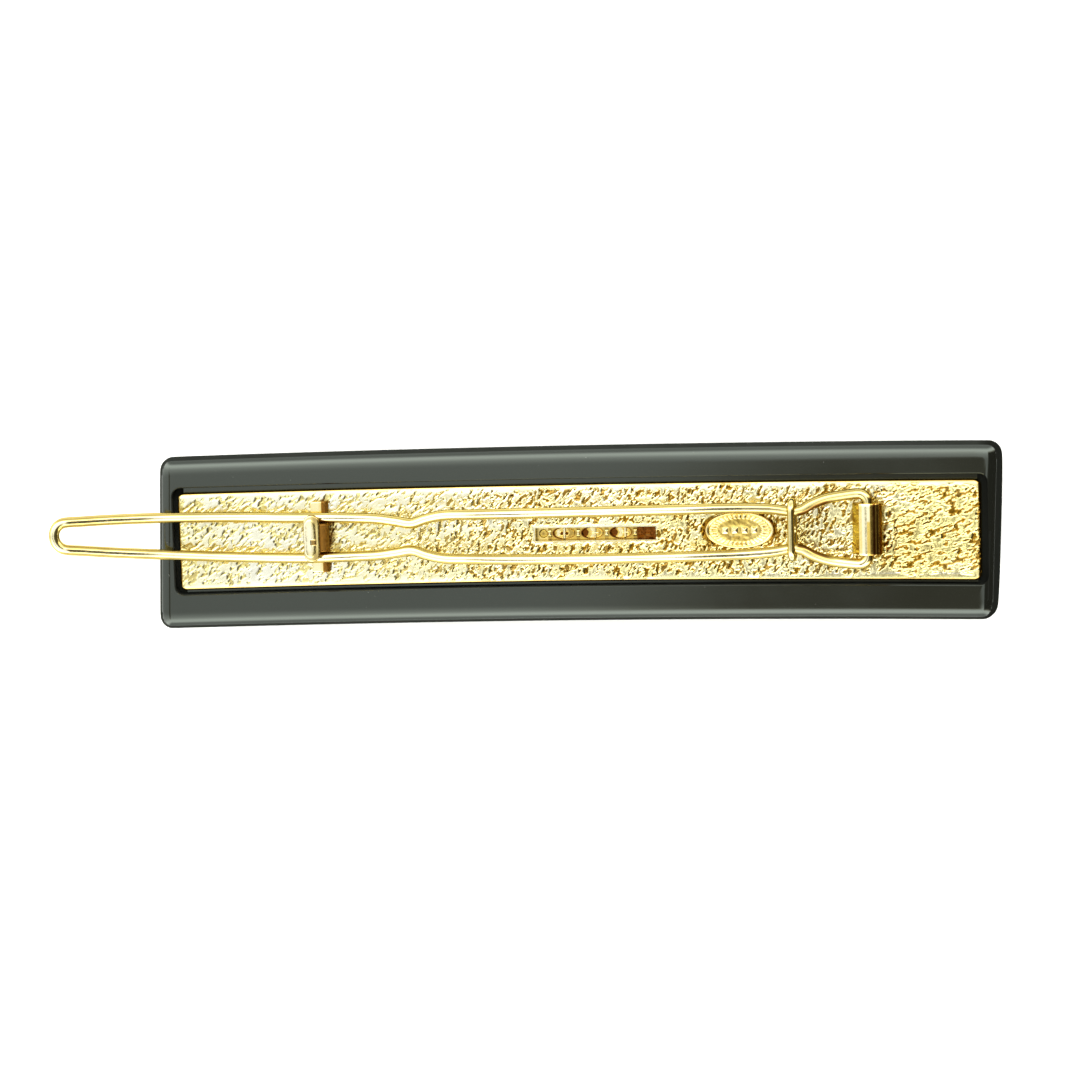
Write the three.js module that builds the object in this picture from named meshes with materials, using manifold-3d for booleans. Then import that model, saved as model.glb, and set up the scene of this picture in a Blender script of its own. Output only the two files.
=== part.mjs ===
// A barrette: a long resin bar, gently curved to the head, with a textured brass plate let into its
// back. The plate carries a knuckle in which one loop of spring wire swings, and a catch that the
// loop snaps under. A row of square crystals in a channel setting is let into the front.
//
// Millimetres. +Z points from the front of the bar to its back, where the clasp is. +X runs along the
// bar to its hinge end, and -X to the finger end of the wire. The barrette rests on the setting.
import * as THREE from "three";
import { mergeVertices } from "three/addons/utils/BufferGeometryUtils.js";
import Module from "manifold-3d";

const wasm = await Module();
wasm.setup();

// ---- Driving dimensions ----
const GAP = 0.02; // left between pieces that touch

const BAR_X = -0.08; // its middle, along the curve
const BAR_LENGTH = 88;
const BAR_END_WIDTH = 17.92;
const BAR_BELLY = 0.27; // how much wider the bar is at its middle
const BAR_THICKNESS = 4.4;
const BAR_RADIUS = 220; // of the front's lowest line, about a centre on the clasp side
const BAR_WIDEST_W = 2.5; // height of the widest line above the front
const BACK_EDGE = 1.9; // rounding of the long edges, on the back
const FRONT_FULLNESS = 2.7; // superellipse power of the front's crown: 2 is an ellipse
const END_ROUND = 1.4; // rounding of the two ends
const END_SKEW = 0.038; // the ends lean: along the bar, per unit across it

const POCKET_X = 0.27; // middle of the pocket
const POCKET_Y = 0.2;
const POCKET_LENGTH = 85.6;
const POCKET_WIDTH = 11.1;
const POCKET_FLOOR = 2.9; // heights are above the front
const POCKET_CORNER = 0.9;
const PLATE_X = 0.14; // middle of the plate in it
const PLATE_Y = 0.13;
const PLATE_LENGTH = 84.24;
const PLATE_WIDTH = 10.16;
const PLATE_BOTTOM = 3.1;
const PLATE_TOP = 4.1;
const PLATE_CORNER = 0.7;
const GLUE_MARGIN = 1.2; // from the plate's edge to the adhesive's

const WINDOW_X = 2.24; // the plate's window onto the backs of the settings
const WINDOW_LENGTH = 12.8;
const WINDOW_WIDTH = 1.35;

const STONES = 5;
const STONE_PITCH = 2.97;
const STONE_GIRDLE = 2.1;
const STONE_TABLE = 1.4;
const STONE_HEIGHTS = { table: 0.15, crown: 0.6, girdle: 0.75, culet: 1.95 };
const ORNAMENT_X = 1.75;
const CUP_SIZE = 2.6;
const CUP_WALL = 0.2;
const CUP_FRONT = 0.35;
const CUP_BACK = 2.8;
const CUP_OPENING_LENGTH = 2.1; // the oval opening in a cup's back
const CUP_OPENING_WIDTH = 1.2;
const CUP_CROSS = 0.15; // width of the cross in the opening
const LINK_WAIST = 0.45;
const LINK_ENDS = 0.9;
const BEZEL_WALL = 0.8;
const BEZEL_LIP = 0.45; // the lip that laps over the front
const BEZEL_CORNER = 0.6;
const BEZEL_PROUD = 0.5; // the lip stands this far in front of the bar
const BEZEL_BACK = 3.25;

const TAG_X = 17.48; // the oval plaque
const TAG_LENGTH = 7.2;
const TAG_WIDTH = 3.74;
const TAG_Y = 0.2;
const TAG_LIFT = 0.05; // its flat underside clears the curve of the plate by this at its middle
const TAG_RIM = 0.35;
const TAG_FIELD = 0.2;

const CLASP_Y = 0.35; // the clasp's own centreline
const WIRE_RADIUS = 0.55;
const HINGE_X = 30.95;
const HINGE_HEIGHT = 1.15; // of the pivot above the plate
const HINGE_CORNER = 0.9; // bend radius where the wire leaves the knuckle
const BORE_RADIUS = 0.65;
const KNUCKLE_RADIUS = 1.36;
const KNUCKLE_LENGTH = 5.2;
const KNUCKLE_FOOT = 1.68; // how far its foot reaches from the pivot
const WIRE_END_GAP = 0.3; // between the wire's two ends, inside the knuckle

const NECK_X = 23.25; // where the ring ties the two strands
const NECK_HALF = 1.88;
const NECK_HEIGHT = 2.1;
const RING_RADIUS = 0.38;
const RING_CLEARANCE = 0.04;

const CATCH_X = -26.95;
const SADDLE_WIDTH = 1.76;
const SADDLE_LENGTH = 7.38;
const SADDLE_TOP = 1.2; // above the plate
const SADDLE_SHEET = 0.45;
const POST_THICKNESS = 0.95;
const POST_WIDTH = 2.7;
const POST_SHIFT = 0.36; // the hook's post stands at the saddle's hinge side
const HEAD_SHIFT = -0.65; // and its head reaches over towards the finger end
const HEAD_WIDTH = 1.65;
const HEAD_LENGTH = 4.86;
const HEAD_BOTTOM = 2.45;
const HEAD_THICKNESS = 0.9;
const HEAD_BEVEL = 0.3;

const FINGER_X = -53.4; // centre of the round end of the wire
const FINGER_RADIUS = 1.42;
const FINGER_SKEW = 1.0; // the finger end leans this far sideways
const SKEW_FROM = -29;

// Each strand between the knuckle's corner and the finger end: place along the bar, distance from the
// clasp's centreline, height above the plate.
const STRAND = [
  [28.3, 3.38, 1.4],
  [26.7, 3.1, 1.6],
  [25.3, 2.6, 1.8],
  [24.2, 2.02, 1.98],
  [NECK_X, NECK_HALF, NECK_HEIGHT],
  [22.35, 2.0, 2.25],
  [21.2, 2.17, 2.5],
  [18.5, 2.33, 3.15],
  [12, 2.38, 4.7],
  [4, 2.38, 5.8],
  [-4, 2.34, 5.9],
  [-10, 2.28, 5.3],
  [-13.4, 2.2, 4.6],
  [-15.2, 1.86, 4.15],
  [-16.8, 1.4, 3.75],
  [-18.5, 1.62, 3.35],
  [-20.5, 1.87, 2.9],
  [-23.5, 2.0, 2.3],
  [-26, 2.07, 1.92],
  [-27.6, 2.09, 1.8],
  [-30.5, 2.09, 1.72],
  [-36, 2.07, 1.65],
  [-44, 1.88, 1.7],
  [-49, 1.68, 2.1],
  [-52, 1.5, 2.4],
];
const FINGER_HEIGHT = 2.55;

// ---- Colours ----
const finish = (color, metalness, roughness) =>
  new THREE.MeshStandardMaterial({ color, metalness, roughness });
const resin = finish(0x0b0c0d, 0, 0.12);
const castGold = finish(0xe8c35a, 1, 0.3);
const wireGold = finish(0xf0dc9a, 1, 0.16);
const crystal = finish(0xe8eef2, 0, 0.03);
const adhesive = finish(0xd8d2b8, 0, 0.5);

// ---- Helpers ----

// Carries a point of the straight bar (along, across, height above the front) onto the curved bar.
function bend(along, across, height) {
  const angle = along / BAR_RADIUS;
  const radius = BAR_RADIUS - height;
  return new THREE.Vector3(
    radius * Math.sin(angle),
    across,
    BEZEL_PROUD + BAR_RADIUS - radius * Math.cos(angle),
  );
}

const linspace = (from, to, count) =>
  Array.from({ length: count + 1 }, (_, i) => from + ((to - from) * i) / count);

// Joins closed rings of equal size, each running counterclockwise seen against the travel, into a
// solid with a fan of triangles over each end.
function loft(rings) {
  const sides = rings[0].length;
  const points = rings.flat();
  const faces = [];
  for (let ring = 0; ring + 1 < rings.length; ring++) {
    for (let i = 0; i < sides; i++) {
      const a = ring * sides + i;
      const b = ring * sides + ((i + 1) % sides);
      faces.push(a, b, a + sides, b, b + sides, a + sides);
    }
  }
  const middle = (ring) =>
    ring.reduce((sum, p) => sum.add(p), new THREE.Vector3()).divideScalar(sides);
  const first = points.push(middle(rings[0])) - 1;
  const last = points.push(middle(rings[rings.length - 1])) - 1;
  const lastRing = (rings.length - 1) * sides;
  for (let i = 0; i < sides; i++) {
    const next = (i + 1) % sides;
    faces.push(first, next, i, last, lastRing + i, lastRing + next);
  }
  const geometry = new THREE.BufferGeometry().setFromPoints(points);
  geometry.setIndex(faces);
  geometry.computeVertexNormals();
  return geometry;
}

function solidOf(geometry) {
  const bare = geometry.clone();
  bare.deleteAttribute("normal");
  bare.deleteAttribute("uv");
  const merged = mergeVertices(bare, 1e-5);
  return new wasm.Manifold(
    new wasm.Mesh({
      numProp: 3,
      vertProperties: merged.attributes.position.array,
      triVerts: new Uint32Array(merged.index.array),
    }),
  );
}

function geometryOf(solid) {
  const mesh = solid.getMesh();
  const geometry = new THREE.BufferGeometry();
  const positions = new Float32Array(mesh.vertProperties);
  geometry.setAttribute("position", new THREE.BufferAttribute(positions, 3));
  geometry.setIndex(new THREE.BufferAttribute(new Uint32Array(mesh.triVerts), 1));
  geometry.computeVertexNormals();
  return geometry;
}

const cut = (geometry, ...tools) =>
  geometryOf(tools.reduce((solid, tool) => solid.subtract(solidOf(tool)), solidOf(geometry)));

// How far a rounded corner of this radius has pulled in at a distance from the end.
function roundIn(distance, radius) {
  const left = Math.max(0, radius - distance);
  return radius - Math.sqrt(radius * radius - left * left);
}

// Places along a length, with close steps through the rounding at each end.
function stations(length, round, steps) {
  const half = length / 2;
  const ends = linspace(0, Math.PI / 2, 4).map((a) => half - round + round * Math.cos(a));
  const inner = linspace(-half + round, half - round, steps).slice(1, -1);
  return [...ends.map((x) => -x), ...inner, ...ends.reverse()];
}

// A flat slab with rounded corners, let into the bar's curve.
function slab({ x = 0, y = 0, length, width, corner, bottom, top, steps = 28 }) {
  const rings = stations(length, corner, steps).map((along) => {
    const half = width / 2 - roundIn(length / 2 - Math.abs(along), corner);
    return [
      bend(x + along, y - half, bottom),
      bend(x + along, y + half, bottom),
      bend(x + along, y + half, top),
      bend(x + along, y - half, top),
    ];
  });
  return loft(rings);
}

// A tube with open ends closed off, through points that may lie closer together where it bends more.
function tube(points, radius, sides, stepsPerPoint) {
  const path = new THREE.CatmullRomCurve3(points, false, "centripetal");
  path.getUtoTmapping = (u) => u; // steps follow the points, so tight bends get more of them
  const section = new THREE.Shape(
    linspace(0, 2 * Math.PI, sides)
      .slice(0, -1)
      .map((a) => new THREE.Vector2(radius * Math.cos(a), radius * Math.sin(a))),
  );
  return new THREE.ExtrudeGeometry(section, {
    steps: (points.length - 1) * stepsPerPoint,
    extrudePath: path,
  });
}

// Extrudes a side view, drawn as (along, height), across the bar.
function extrudeAcross(shape, width, curveSegments = 12) {
  const geometry = new THREE.ExtrudeGeometry(shape, {
    depth: width,
    bevelEnabled: false,
    curveSegments,
  });
  return geometry.rotateX(Math.PI / 2).translate(0, width / 2, 0);
}

function roundedRectangle(length, width, corner) {
  const x = length / 2;
  const y = width / 2;
  const shape = new THREE.Shape();
  shape.absarc(x - corner, y - corner, corner, 0, Math.PI / 2);
  shape.absarc(corner - x, y - corner, corner, Math.PI / 2, Math.PI);
  shape.absarc(corner - x, corner - y, corner, Math.PI, 1.5 * Math.PI);
  shape.absarc(x - corner, corner - y, corner, 1.5 * Math.PI, 2 * Math.PI);
  return shape;
}

const rectangle = (length, width) =>
  new THREE.Shape([
    new THREE.Vector2(-length / 2, -width / 2),
    new THREE.Vector2(length / 2, -width / 2),
    new THREE.Vector2(length / 2, width / 2),
    new THREE.Vector2(-length / 2, width / 2),
  ]);

// A prism standing on z = from, up to z = to.
const prism = (shape, from, to, curveSegments = 4) =>
  new THREE.ExtrudeGeometry(shape, {
    depth: to - from,
    bevelEnabled: false,
    curveSegments,
  }).translate(0, 0, from);

const root = new THREE.Group();

function add(name, geometry, material) {
  const mesh = new THREE.Mesh(geometry, material);
  mesh.name = name;
  root.add(mesh);
  return mesh;
}

// Sets a straight piece on the curved bar, tangent to it.
function seat(mesh, along, across, height) {
  mesh.position.copy(bend(along, across, height));
  mesh.rotation.y = -along / BAR_RADIUS;
}

// ---- The bar ----

// Half of the bar's section, from the middle of the front round the long edge to the middle of the back.
function halfSection(halfWidth) {
  const power = 2 / FRONT_FULLNESS;
  const front = linspace(0, Math.PI / 2, 12).map((a) => [
    halfWidth * Math.sin(a) ** power,
    BAR_WIDEST_W * (1 - Math.cos(a) ** power),
  ]);
  const backRise = BAR_THICKNESS - BAR_WIDEST_W;
  const backEdge = linspace(0, Math.PI / 2, 5)
    .slice(1)
    .map((a) => [
      halfWidth - BACK_EDGE * (1 - Math.cos(a)),
      BAR_WIDEST_W + backRise * Math.sin(a),
    ]);
  return [...front, ...backEdge, [0, BAR_THICKNESS]];
}

function barBlank() {
  const rings = stations(BAR_LENGTH, END_ROUND, 36).map((along) => {
    const share = (2 * along) / BAR_LENGTH;
    const belly = (BAR_BELLY / 2) * (1 - share * share);
    const halfWidth = BAR_END_WIDTH / 2 + belly;
    const pulledIn = roundIn(BAR_LENGTH / 2 - Math.abs(along), END_ROUND);
    const shrinkY = (halfWidth - pulledIn) / halfWidth;
    const shrinkZ = (BAR_THICKNESS / 2 - pulledIn) / (BAR_THICKNESS / 2);
    const half = halfSection(halfWidth);
    const mirrored = half.slice(1, -1).reverse().map(([y, z]) => [-y, z]);
    return [...half, ...mirrored].map(([y, z]) => {
      const across = y * shrinkY;
      const height = BAR_THICKNESS / 2 + (z - BAR_THICKNESS / 2) * shrinkZ;
      return bend(BAR_X + along + END_SKEW * across, across, height);
    });
  });
  return loft(rings);
}

const bezelInner = [(STONES - 1) * STONE_PITCH + CUP_SIZE + 0.2, CUP_SIZE + 0.2];
const bezelOuter = bezelInner.map((size) => size + 2 * BEZEL_WALL);
const ornamentCut = prism(
  roundedRectangle(bezelOuter[0] + 0.1, bezelOuter[1] + 0.1, BEZEL_CORNER),
  -1,
  BAR_THICKNESS + 1,
).translate(ORNAMENT_X, 0, 0);

const pocket = slab({
  x: POCKET_X,
  y: POCKET_Y,
  length: POCKET_LENGTH,
  width: POCKET_WIDTH,
  corner: POCKET_CORNER,
  bottom: POCKET_FLOOR,
  top: BAR_THICKNESS + 2,
});
add("resin_bar", cut(barBlank(), pocket, ornamentCut), resin);

// ---- The plate and what is fixed to it ----
const plateSlab = slab({
  x: PLATE_X,
  y: PLATE_Y,
  length: PLATE_LENGTH,
  width: PLATE_WIDTH,
  corner: PLATE_CORNER,
  bottom: PLATE_BOTTOM,
  top: PLATE_TOP,
});
const window = slab({
  x: WINDOW_X,
  length: WINDOW_LENGTH,
  width: WINDOW_WIDTH,
  corner: 0.2,
  bottom: PLATE_BOTTOM - 1,
  top: PLATE_TOP + 1,
  steps: 6,
});
add("back_plate", cut(plateSlab, window), castGold);

const glue = slab({
  x: PLATE_X,
  y: PLATE_Y,
  length: PLATE_LENGTH - 2 * GLUE_MARGIN,
  width: PLATE_WIDTH - 2 * GLUE_MARGIN,
  corner: PLATE_CORNER,
  bottom: POCKET_FLOOR + GAP,
  top: PLATE_BOTTOM - GAP,
});
add("plate_adhesive", cut(glue, ornamentCut), adhesive);

function ovalTag() {
  const rimInside = 0.84; // shares of the plaque's radius
  const rimTop = 0.92;
  const profile = [
    [0, 0],
    [1, 0],
    [1, TAG_FIELD],
    [rimTop, TAG_RIM],
    [rimInside, TAG_FIELD],
    [0, TAG_FIELD],
  ].map(([r, h]) => new THREE.Vector2(r, h));
  return new THREE.LatheGeometry(profile, 40)
    .rotateX(Math.PI / 2)
    .scale(TAG_LENGTH / 2, TAG_WIDTH / 2, 1);
}
seat(add("oval_tag", ovalTag(), castGold), TAG_X, TAG_Y, PLATE_TOP + TAG_LIFT);

// The knuckle is drawn about the pivot: a foot on the plate, a ramp, and a barrel round the wire.
function knuckleShape() {
  const foot = new THREE.Vector2(-KNUCKLE_FOOT, GAP - HINGE_HEIGHT);
  const rampEnd = foot.angle() - Math.acos(KNUCKLE_RADIUS / foot.length());
  const shape = new THREE.Shape();
  shape.moveTo(foot.x, foot.y);
  shape.lineTo(KNUCKLE_RADIUS, foot.y);
  shape.lineTo(KNUCKLE_RADIUS, 0);
  shape.absarc(0, 0, KNUCKLE_RADIUS, 0, rampEnd);
  shape.closePath();
  shape.holes.push(new THREE.Path().absarc(0, 0, BORE_RADIUS, 0, 2 * Math.PI));
  return shape;
}
const knuckle = add("hinge_knuckle", extrudeAcross(knuckleShape(), KNUCKLE_LENGTH), castGold);
seat(knuckle, HINGE_X, CLASP_Y, PLATE_TOP + HINGE_HEIGHT);

// The saddle is a strip bent down to the plate along its hinge side.
function saddleShape() {
  const half = SADDLE_WIDTH / 2;
  const shape = new THREE.Shape();
  shape.moveTo(half, GAP);
  shape.lineTo(half, SADDLE_TOP - SADDLE_SHEET);
  shape.absarc(
    half - SADDLE_SHEET, SADDLE_TOP - SADDLE_SHEET, SADDLE_SHEET, 0, Math.PI / 2,
  );
  shape.lineTo(-half, SADDLE_TOP);
  shape.lineTo(-half, SADDLE_TOP - SADDLE_SHEET);
  shape.lineTo(half - SADDLE_SHEET, SADDLE_TOP - SADDLE_SHEET);
  shape.lineTo(half - SADDLE_SHEET, GAP);
  shape.closePath();
  return shape;
}
const saddle = add("catch_saddle", extrudeAcross(saddleShape(), SADDLE_LENGTH, 4), castGold);
seat(saddle, CATCH_X, CLASP_Y, PLATE_TOP);

// The hook is one piece: a post on the saddle, with a long round-ended head over it.
function hookGeometry() {
  const width = HEAD_WIDTH - 2 * HEAD_BEVEL;
  const outline = roundedRectangle(width, HEAD_LENGTH - 2 * HEAD_BEVEL, width / 2 - 0.01);
  const head = new THREE.ExtrudeGeometry(outline, {
    depth: HEAD_THICKNESS - 2 * HEAD_BEVEL,
    bevelThickness: HEAD_BEVEL,
    bevelSize: HEAD_BEVEL,
    bevelSegments: 2,
    curveSegments: 5,
  }).translate(HEAD_SHIFT, 0, HEAD_BOTTOM + HEAD_BEVEL);
  const postTop = HEAD_BOTTOM + HEAD_THICKNESS / 2;
  const post = prism(rectangle(POST_THICKNESS, POST_WIDTH), SADDLE_TOP + GAP, postTop)
    .translate(POST_SHIFT, 0, 0);
  return geometryOf(solidOf(head).add(solidOf(post)));
}
seat(add("catch_hook", hookGeometry(), castGold), CATCH_X, CLASP_Y, PLATE_TOP);

// ---- The clasp that swings ----

function claspPoint(along, across, height) {
  const lean = Math.max(0, (SKEW_FROM - along) / (SKEW_FROM - FINGER_X));
  return bend(along, CLASP_Y + across + FINGER_SKEW * lean, PLATE_TOP + height);
}

// One strand as (along, across, height), from the wire's end in the knuckle to the finger end.
function strandPoints() {
  const straight = linspace(WIRE_END_GAP / 2, KNUCKLE_LENGTH / 2 + 0.05, 3).map((across) => [
    HINGE_X, across, HINGE_HEIGHT,
  ]);
  const turn = straight[straight.length - 1][1];
  const corner = linspace(0, Math.PI / 2, 4)
    .slice(1)
    .map((a) => [
      HINGE_X - HINGE_CORNER * (1 - Math.cos(a)),
      turn + HINGE_CORNER * Math.sin(a),
      HINGE_HEIGHT,
    ]);
  return [...straight, ...corner, ...STRAND];
}

function claspWire() {
  const strand = strandPoints();
  const finger = linspace(Math.PI / 2, -Math.PI / 2, 8).map((a) => [
    FINGER_X - FINGER_RADIUS * Math.cos(a),
    FINGER_RADIUS * Math.sin(a),
    FINGER_HEIGHT,
  ]);
  const mirrored = strand.map(([x, y, z]) => [x, -y, z]).reverse();
  const points = [...strand, ...finger, ...mirrored].map((p) => claspPoint(...p));
  return tube(points, WIRE_RADIUS, 10, 3);
}
add("clasp_wire", claspWire(), wireGold);

// The ring is a piece of wire bent flat round both strands, with its ends meeting underneath.
function claspRing() {
  const reach = WIRE_RADIUS + RING_CLEARANCE + RING_RADIUS;
  const side = (sign) =>
    linspace(-Math.PI / 2, Math.PI / 2, 8).map((a) => [
      sign * (NECK_HALF + reach * Math.cos(a)),
      sign * reach * Math.sin(a),
    ]);
  const split = 0.08;
  const outline = [[split, -reach], ...side(1), ...side(-1), [-split, -reach]];
  const points = outline.map(([y, z]) => new THREE.Vector3(0, y, z));
  return tube(points, RING_RADIUS, 8, 1);
}
seat(add("clasp_ring", claspRing(), wireGold), NECK_X, CLASP_Y, PLATE_TOP + NECK_HEIGHT);

// ---- The ornament in the front ----
function bezelGeometry() {
  const lipShape = roundedRectangle(
    bezelOuter[0] + 2 * BEZEL_LIP, bezelOuter[1] + 2 * BEZEL_LIP, BEZEL_CORNER + BEZEL_LIP,
  );
  const lip = prism(lipShape, 0, BEZEL_PROUD - 0.05);
  const walls = prism(roundedRectangle(...bezelOuter, BEZEL_CORNER), 0, BEZEL_BACK);
  const inside = prism(rectangle(...bezelInner), -1, BEZEL_BACK + 1);
  return geometryOf(solidOf(walls).add(solidOf(lip)).subtract(solidOf(inside)));
}
add("front_bezel", bezelGeometry(), castGold).position.x = ORNAMENT_X;

// The end cups are closed. The others have an oval opening with a thin cross in it.
function cupGeometry(pierced) {
  const inner = CUP_SIZE - 2 * CUP_WALL;
  const box = prism(rectangle(CUP_SIZE, CUP_SIZE), CUP_FRONT, CUP_BACK);
  const hollow = prism(rectangle(inner, inner), CUP_FRONT - 1, CUP_BACK - CUP_WALL);
  if (!pierced) return cut(box, hollow);
  const oval = prism(ovalShape(CUP_OPENING_LENGTH, CUP_OPENING_WIDTH), CUP_FRONT, CUP_BACK + 1);
  const opening = solidOf(oval)
    .subtract(solidOf(prism(rectangle(CUP_CROSS, CUP_SIZE), 0, CUP_BACK + 2)))
    .subtract(solidOf(prism(rectangle(CUP_SIZE, CUP_CROSS), 0, CUP_BACK + 2)));
  return cut(box, hollow, geometryOf(opening));
}

function ovalShape(length, width) {
  const shape = new THREE.Shape();
  shape.absellipse(0, 0, length / 2, width / 2, 0, 2 * Math.PI);
  return shape;
}

function stoneGeometry() {
  const corner = Math.SQRT1_2; // half side to half diagonal, over the side
  const { table, crown, girdle, culet } = STONE_HEIGHTS;
  const profile = [
    [0, table],
    [STONE_TABLE * corner, table],
    [STONE_GIRDLE * corner, crown],
    [STONE_GIRDLE * corner, girdle],
    [0, culet],
  ].map(([r, h]) => new THREE.Vector2(r, h));
  return new THREE.LatheGeometry(profile, 4)
    .rotateX(Math.PI / 2)
    .rotateZ(Math.PI / 4);
}

function linkShape() {
  const half = (STONE_PITCH - CUP_SIZE) / 2 - GAP;
  const shape = new THREE.Shape();
  shape.moveTo(-half, -LINK_ENDS / 2);
  shape.quadraticCurveTo(0, -LINK_WAIST / 4, half, -LINK_ENDS / 2);
  shape.lineTo(half, LINK_ENDS / 2);
  shape.quadraticCurveTo(0, LINK_WAIST / 4, -half, LINK_ENDS / 2);
  shape.closePath();
  return shape;
}

for (let i = 0; i < STONES; i++) {
  const x = ORNAMENT_X + (i - (STONES - 1) / 2) * STONE_PITCH;
  add(`crystal_cup_${i + 1}`, cupGeometry(i > 0 && i < STONES - 1), castGold).position.x = x;
  add(`crystal_${i + 1}`, stoneGeometry(), crystal).position.x = x;
  if (i === 0) continue;
  const link = prism(linkShape(), CUP_BACK - CUP_WALL, CUP_BACK);
  add(`cup_link_${i}`, link, castGold).position.x = x - STONE_PITCH / 2;
}

// The part's origin is under the middle of the closed barrette, on the surface that it rests on.
const box = new THREE.Box3().setFromObject(root, true);
root.position.set(-(box.min.x + box.max.x) / 2, -(box.min.y + box.max.y) / 2, -box.min.z);

export default root;
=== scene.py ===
"""The looks of the barrette. Lengths are in millimetres on the straight bar until bend() carries them
onto the curved one, in metres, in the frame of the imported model."""

import math

import bmesh
import bpy
import numpy as np
from mathutils import Matrix, Vector


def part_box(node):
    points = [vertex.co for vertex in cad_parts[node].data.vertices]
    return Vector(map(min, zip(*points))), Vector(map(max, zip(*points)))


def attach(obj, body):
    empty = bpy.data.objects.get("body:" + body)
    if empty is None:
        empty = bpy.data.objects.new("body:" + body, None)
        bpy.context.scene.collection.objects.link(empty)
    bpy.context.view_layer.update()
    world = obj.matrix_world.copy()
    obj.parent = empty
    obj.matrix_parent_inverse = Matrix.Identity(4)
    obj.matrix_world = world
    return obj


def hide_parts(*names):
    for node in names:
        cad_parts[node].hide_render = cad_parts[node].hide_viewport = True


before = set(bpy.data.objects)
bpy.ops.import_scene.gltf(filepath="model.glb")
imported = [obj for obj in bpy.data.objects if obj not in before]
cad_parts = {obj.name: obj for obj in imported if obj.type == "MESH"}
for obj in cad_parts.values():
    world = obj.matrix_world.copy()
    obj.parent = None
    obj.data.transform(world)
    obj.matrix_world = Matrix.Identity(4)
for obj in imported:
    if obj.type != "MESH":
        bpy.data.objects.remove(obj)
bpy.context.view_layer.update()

MM = 0.001

# ---- Sizes shared with the CAD ----
BAR_RADIUS = 220.0
BAR_X, BAR_LENGTH = -0.08, 88.0
BAR_END_WIDTH, BAR_BELLY = 17.92, 0.27
BAR_THICKNESS, BAR_WIDEST_W = 4.4, 2.5
BACK_EDGE, BACK_DROP, BACK_FULLNESS, FRONT_FULLNESS = 1.9, 1.5, 2.5, 2.7
END_ROUND, END_SKEW = 1.4, 0.038
POCKET_X, POCKET_Y, POCKET_LENGTH, POCKET_WIDTH = 0.27, 0.2, 85.6, 11.1
POCKET_FLOOR, POCKET_CORNER = 2.9, 0.9
PLATE_X, PLATE_Y, PLATE_LENGTH, PLATE_WIDTH = 0.14, 0.13, 84.24, 10.16
PLATE_BOTTOM, PLATE_TOP, PLATE_CORNER = 3.1, 4.1, 0.7
WINDOW_X, WINDOW_LENGTH, WINDOW_WIDTH = 2.24, 12.8, 1.35
ORNAMENT_X, STONES, STONE_PITCH = 1.75, 5, 2.97
CUP_SIZE, BEZEL_WALL, BEZEL_PROUD = 2.6, 0.8, 0.5
TAG_X, TAG_Y, TAG_LENGTH, TAG_WIDTH = 17.48, 0.2, 7.2, 3.74
CLASP_Y, WIRE_RADIUS = 0.35, 0.55
HINGE_X, HINGE_HEIGHT, HINGE_CORNER = 30.95, 1.15, 0.9
BORE_RADIUS, KNUCKLE_LENGTH, WIRE_END_GAP = 0.65, 5.2, 0.3
NECK_X, NECK_HALF, NECK_HEIGHT = 23.25, 1.88, 2.1
RING_RADIUS, RING_CLEARANCE = 0.38, 0.04
CATCH_X, SADDLE_WIDTH, SADDLE_LENGTH, SADDLE_TOP, SADDLE_SHEET = -26.95, 1.76, 7.38, 1.2, 0.45
POST_WIDTH, POST_SHIFT, POST_THICKNESS = 2.7, 0.36, 0.95
HEAD_SHIFT, HEAD_WIDTH, HEAD_LENGTH, HEAD_BOTTOM, HEAD_THICKNESS = -0.65, 1.65, 4.86, 2.45, 0.9
FINGER_X, FINGER_RADIUS, FINGER_SKEW, SKEW_FROM, FINGER_HEIGHT = -53.4, 1.42, 1.0, -29.0, 2.55

# ---- Sizes that only the looks have ----
SIDE_TURN = 0.73  # how upright the bar's side faces are where the painted shade of the shaded resin begins
SIDES_DARK_FROM, SIDES_DARK_TO = 41.5, 43.2  # where along the bar the painted shade on its sides turns darkest
POCKET_LIP = 0.16  # how far the pocket's mouth is broken
CUP_ROOM, BEZEL_GAP = 0.2, 0.1  # round the row of cups and round the bezel

# One strand of the clasp: along the bar, from the clasp's centreline, height above the plate.
STRAND = [
    (28.3, 3.38, 1.4), (26.7, 3.1, 1.6), (25.3, 2.6, 1.8), (24.2, 2.02, 1.98),
    (NECK_X, NECK_HALF, NECK_HEIGHT), (22.35, 2.0, 2.25), (21.2, 2.17, 2.5), (18.5, 2.33, 3.15),
    (12, 2.38, 4.7), (4, 2.38, 5.8), (-4, 2.34, 5.9), (-10, 2.28, 5.3),
    (-13.4, 2.2, 4.6), (-15.2, 1.86, 4.15), (-16.8, 1.4, 3.75), (-18.5, 1.62, 3.35),
    (-20.5, 1.87, 2.9), (-23.5, 2.0, 2.3), (-26, 2.07, 1.92), (-27.6, 2.09, 1.8),
    (-30.5, 2.09, 1.72), (-36, 2.07, 1.65), (-44, 1.88, 1.7), (-49, 1.68, 2.1), (-52, 1.5, 2.4),
]

# ---- Placing ----
bezel_low, bezel_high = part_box("front_bezel")
MIDDLE_X = (bezel_low.x + bezel_high.x) / 2 / MM - ORNAMENT_X
FRONT_Z = bezel_low.z / MM + BEZEL_PROUD


def bend(points):
    """Rows of (along, across, height above the front) on the curved bar, in metres."""
    along, across, height = np.asarray(points, float).T
    angle = along / BAR_RADIUS
    radius = BAR_RADIUS - height
    x = MIDDLE_X + radius * np.sin(angle)
    z = FRONT_Z + BAR_RADIUS - radius * np.cos(angle)
    return np.stack([x, across, z], axis=1) * MM


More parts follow.
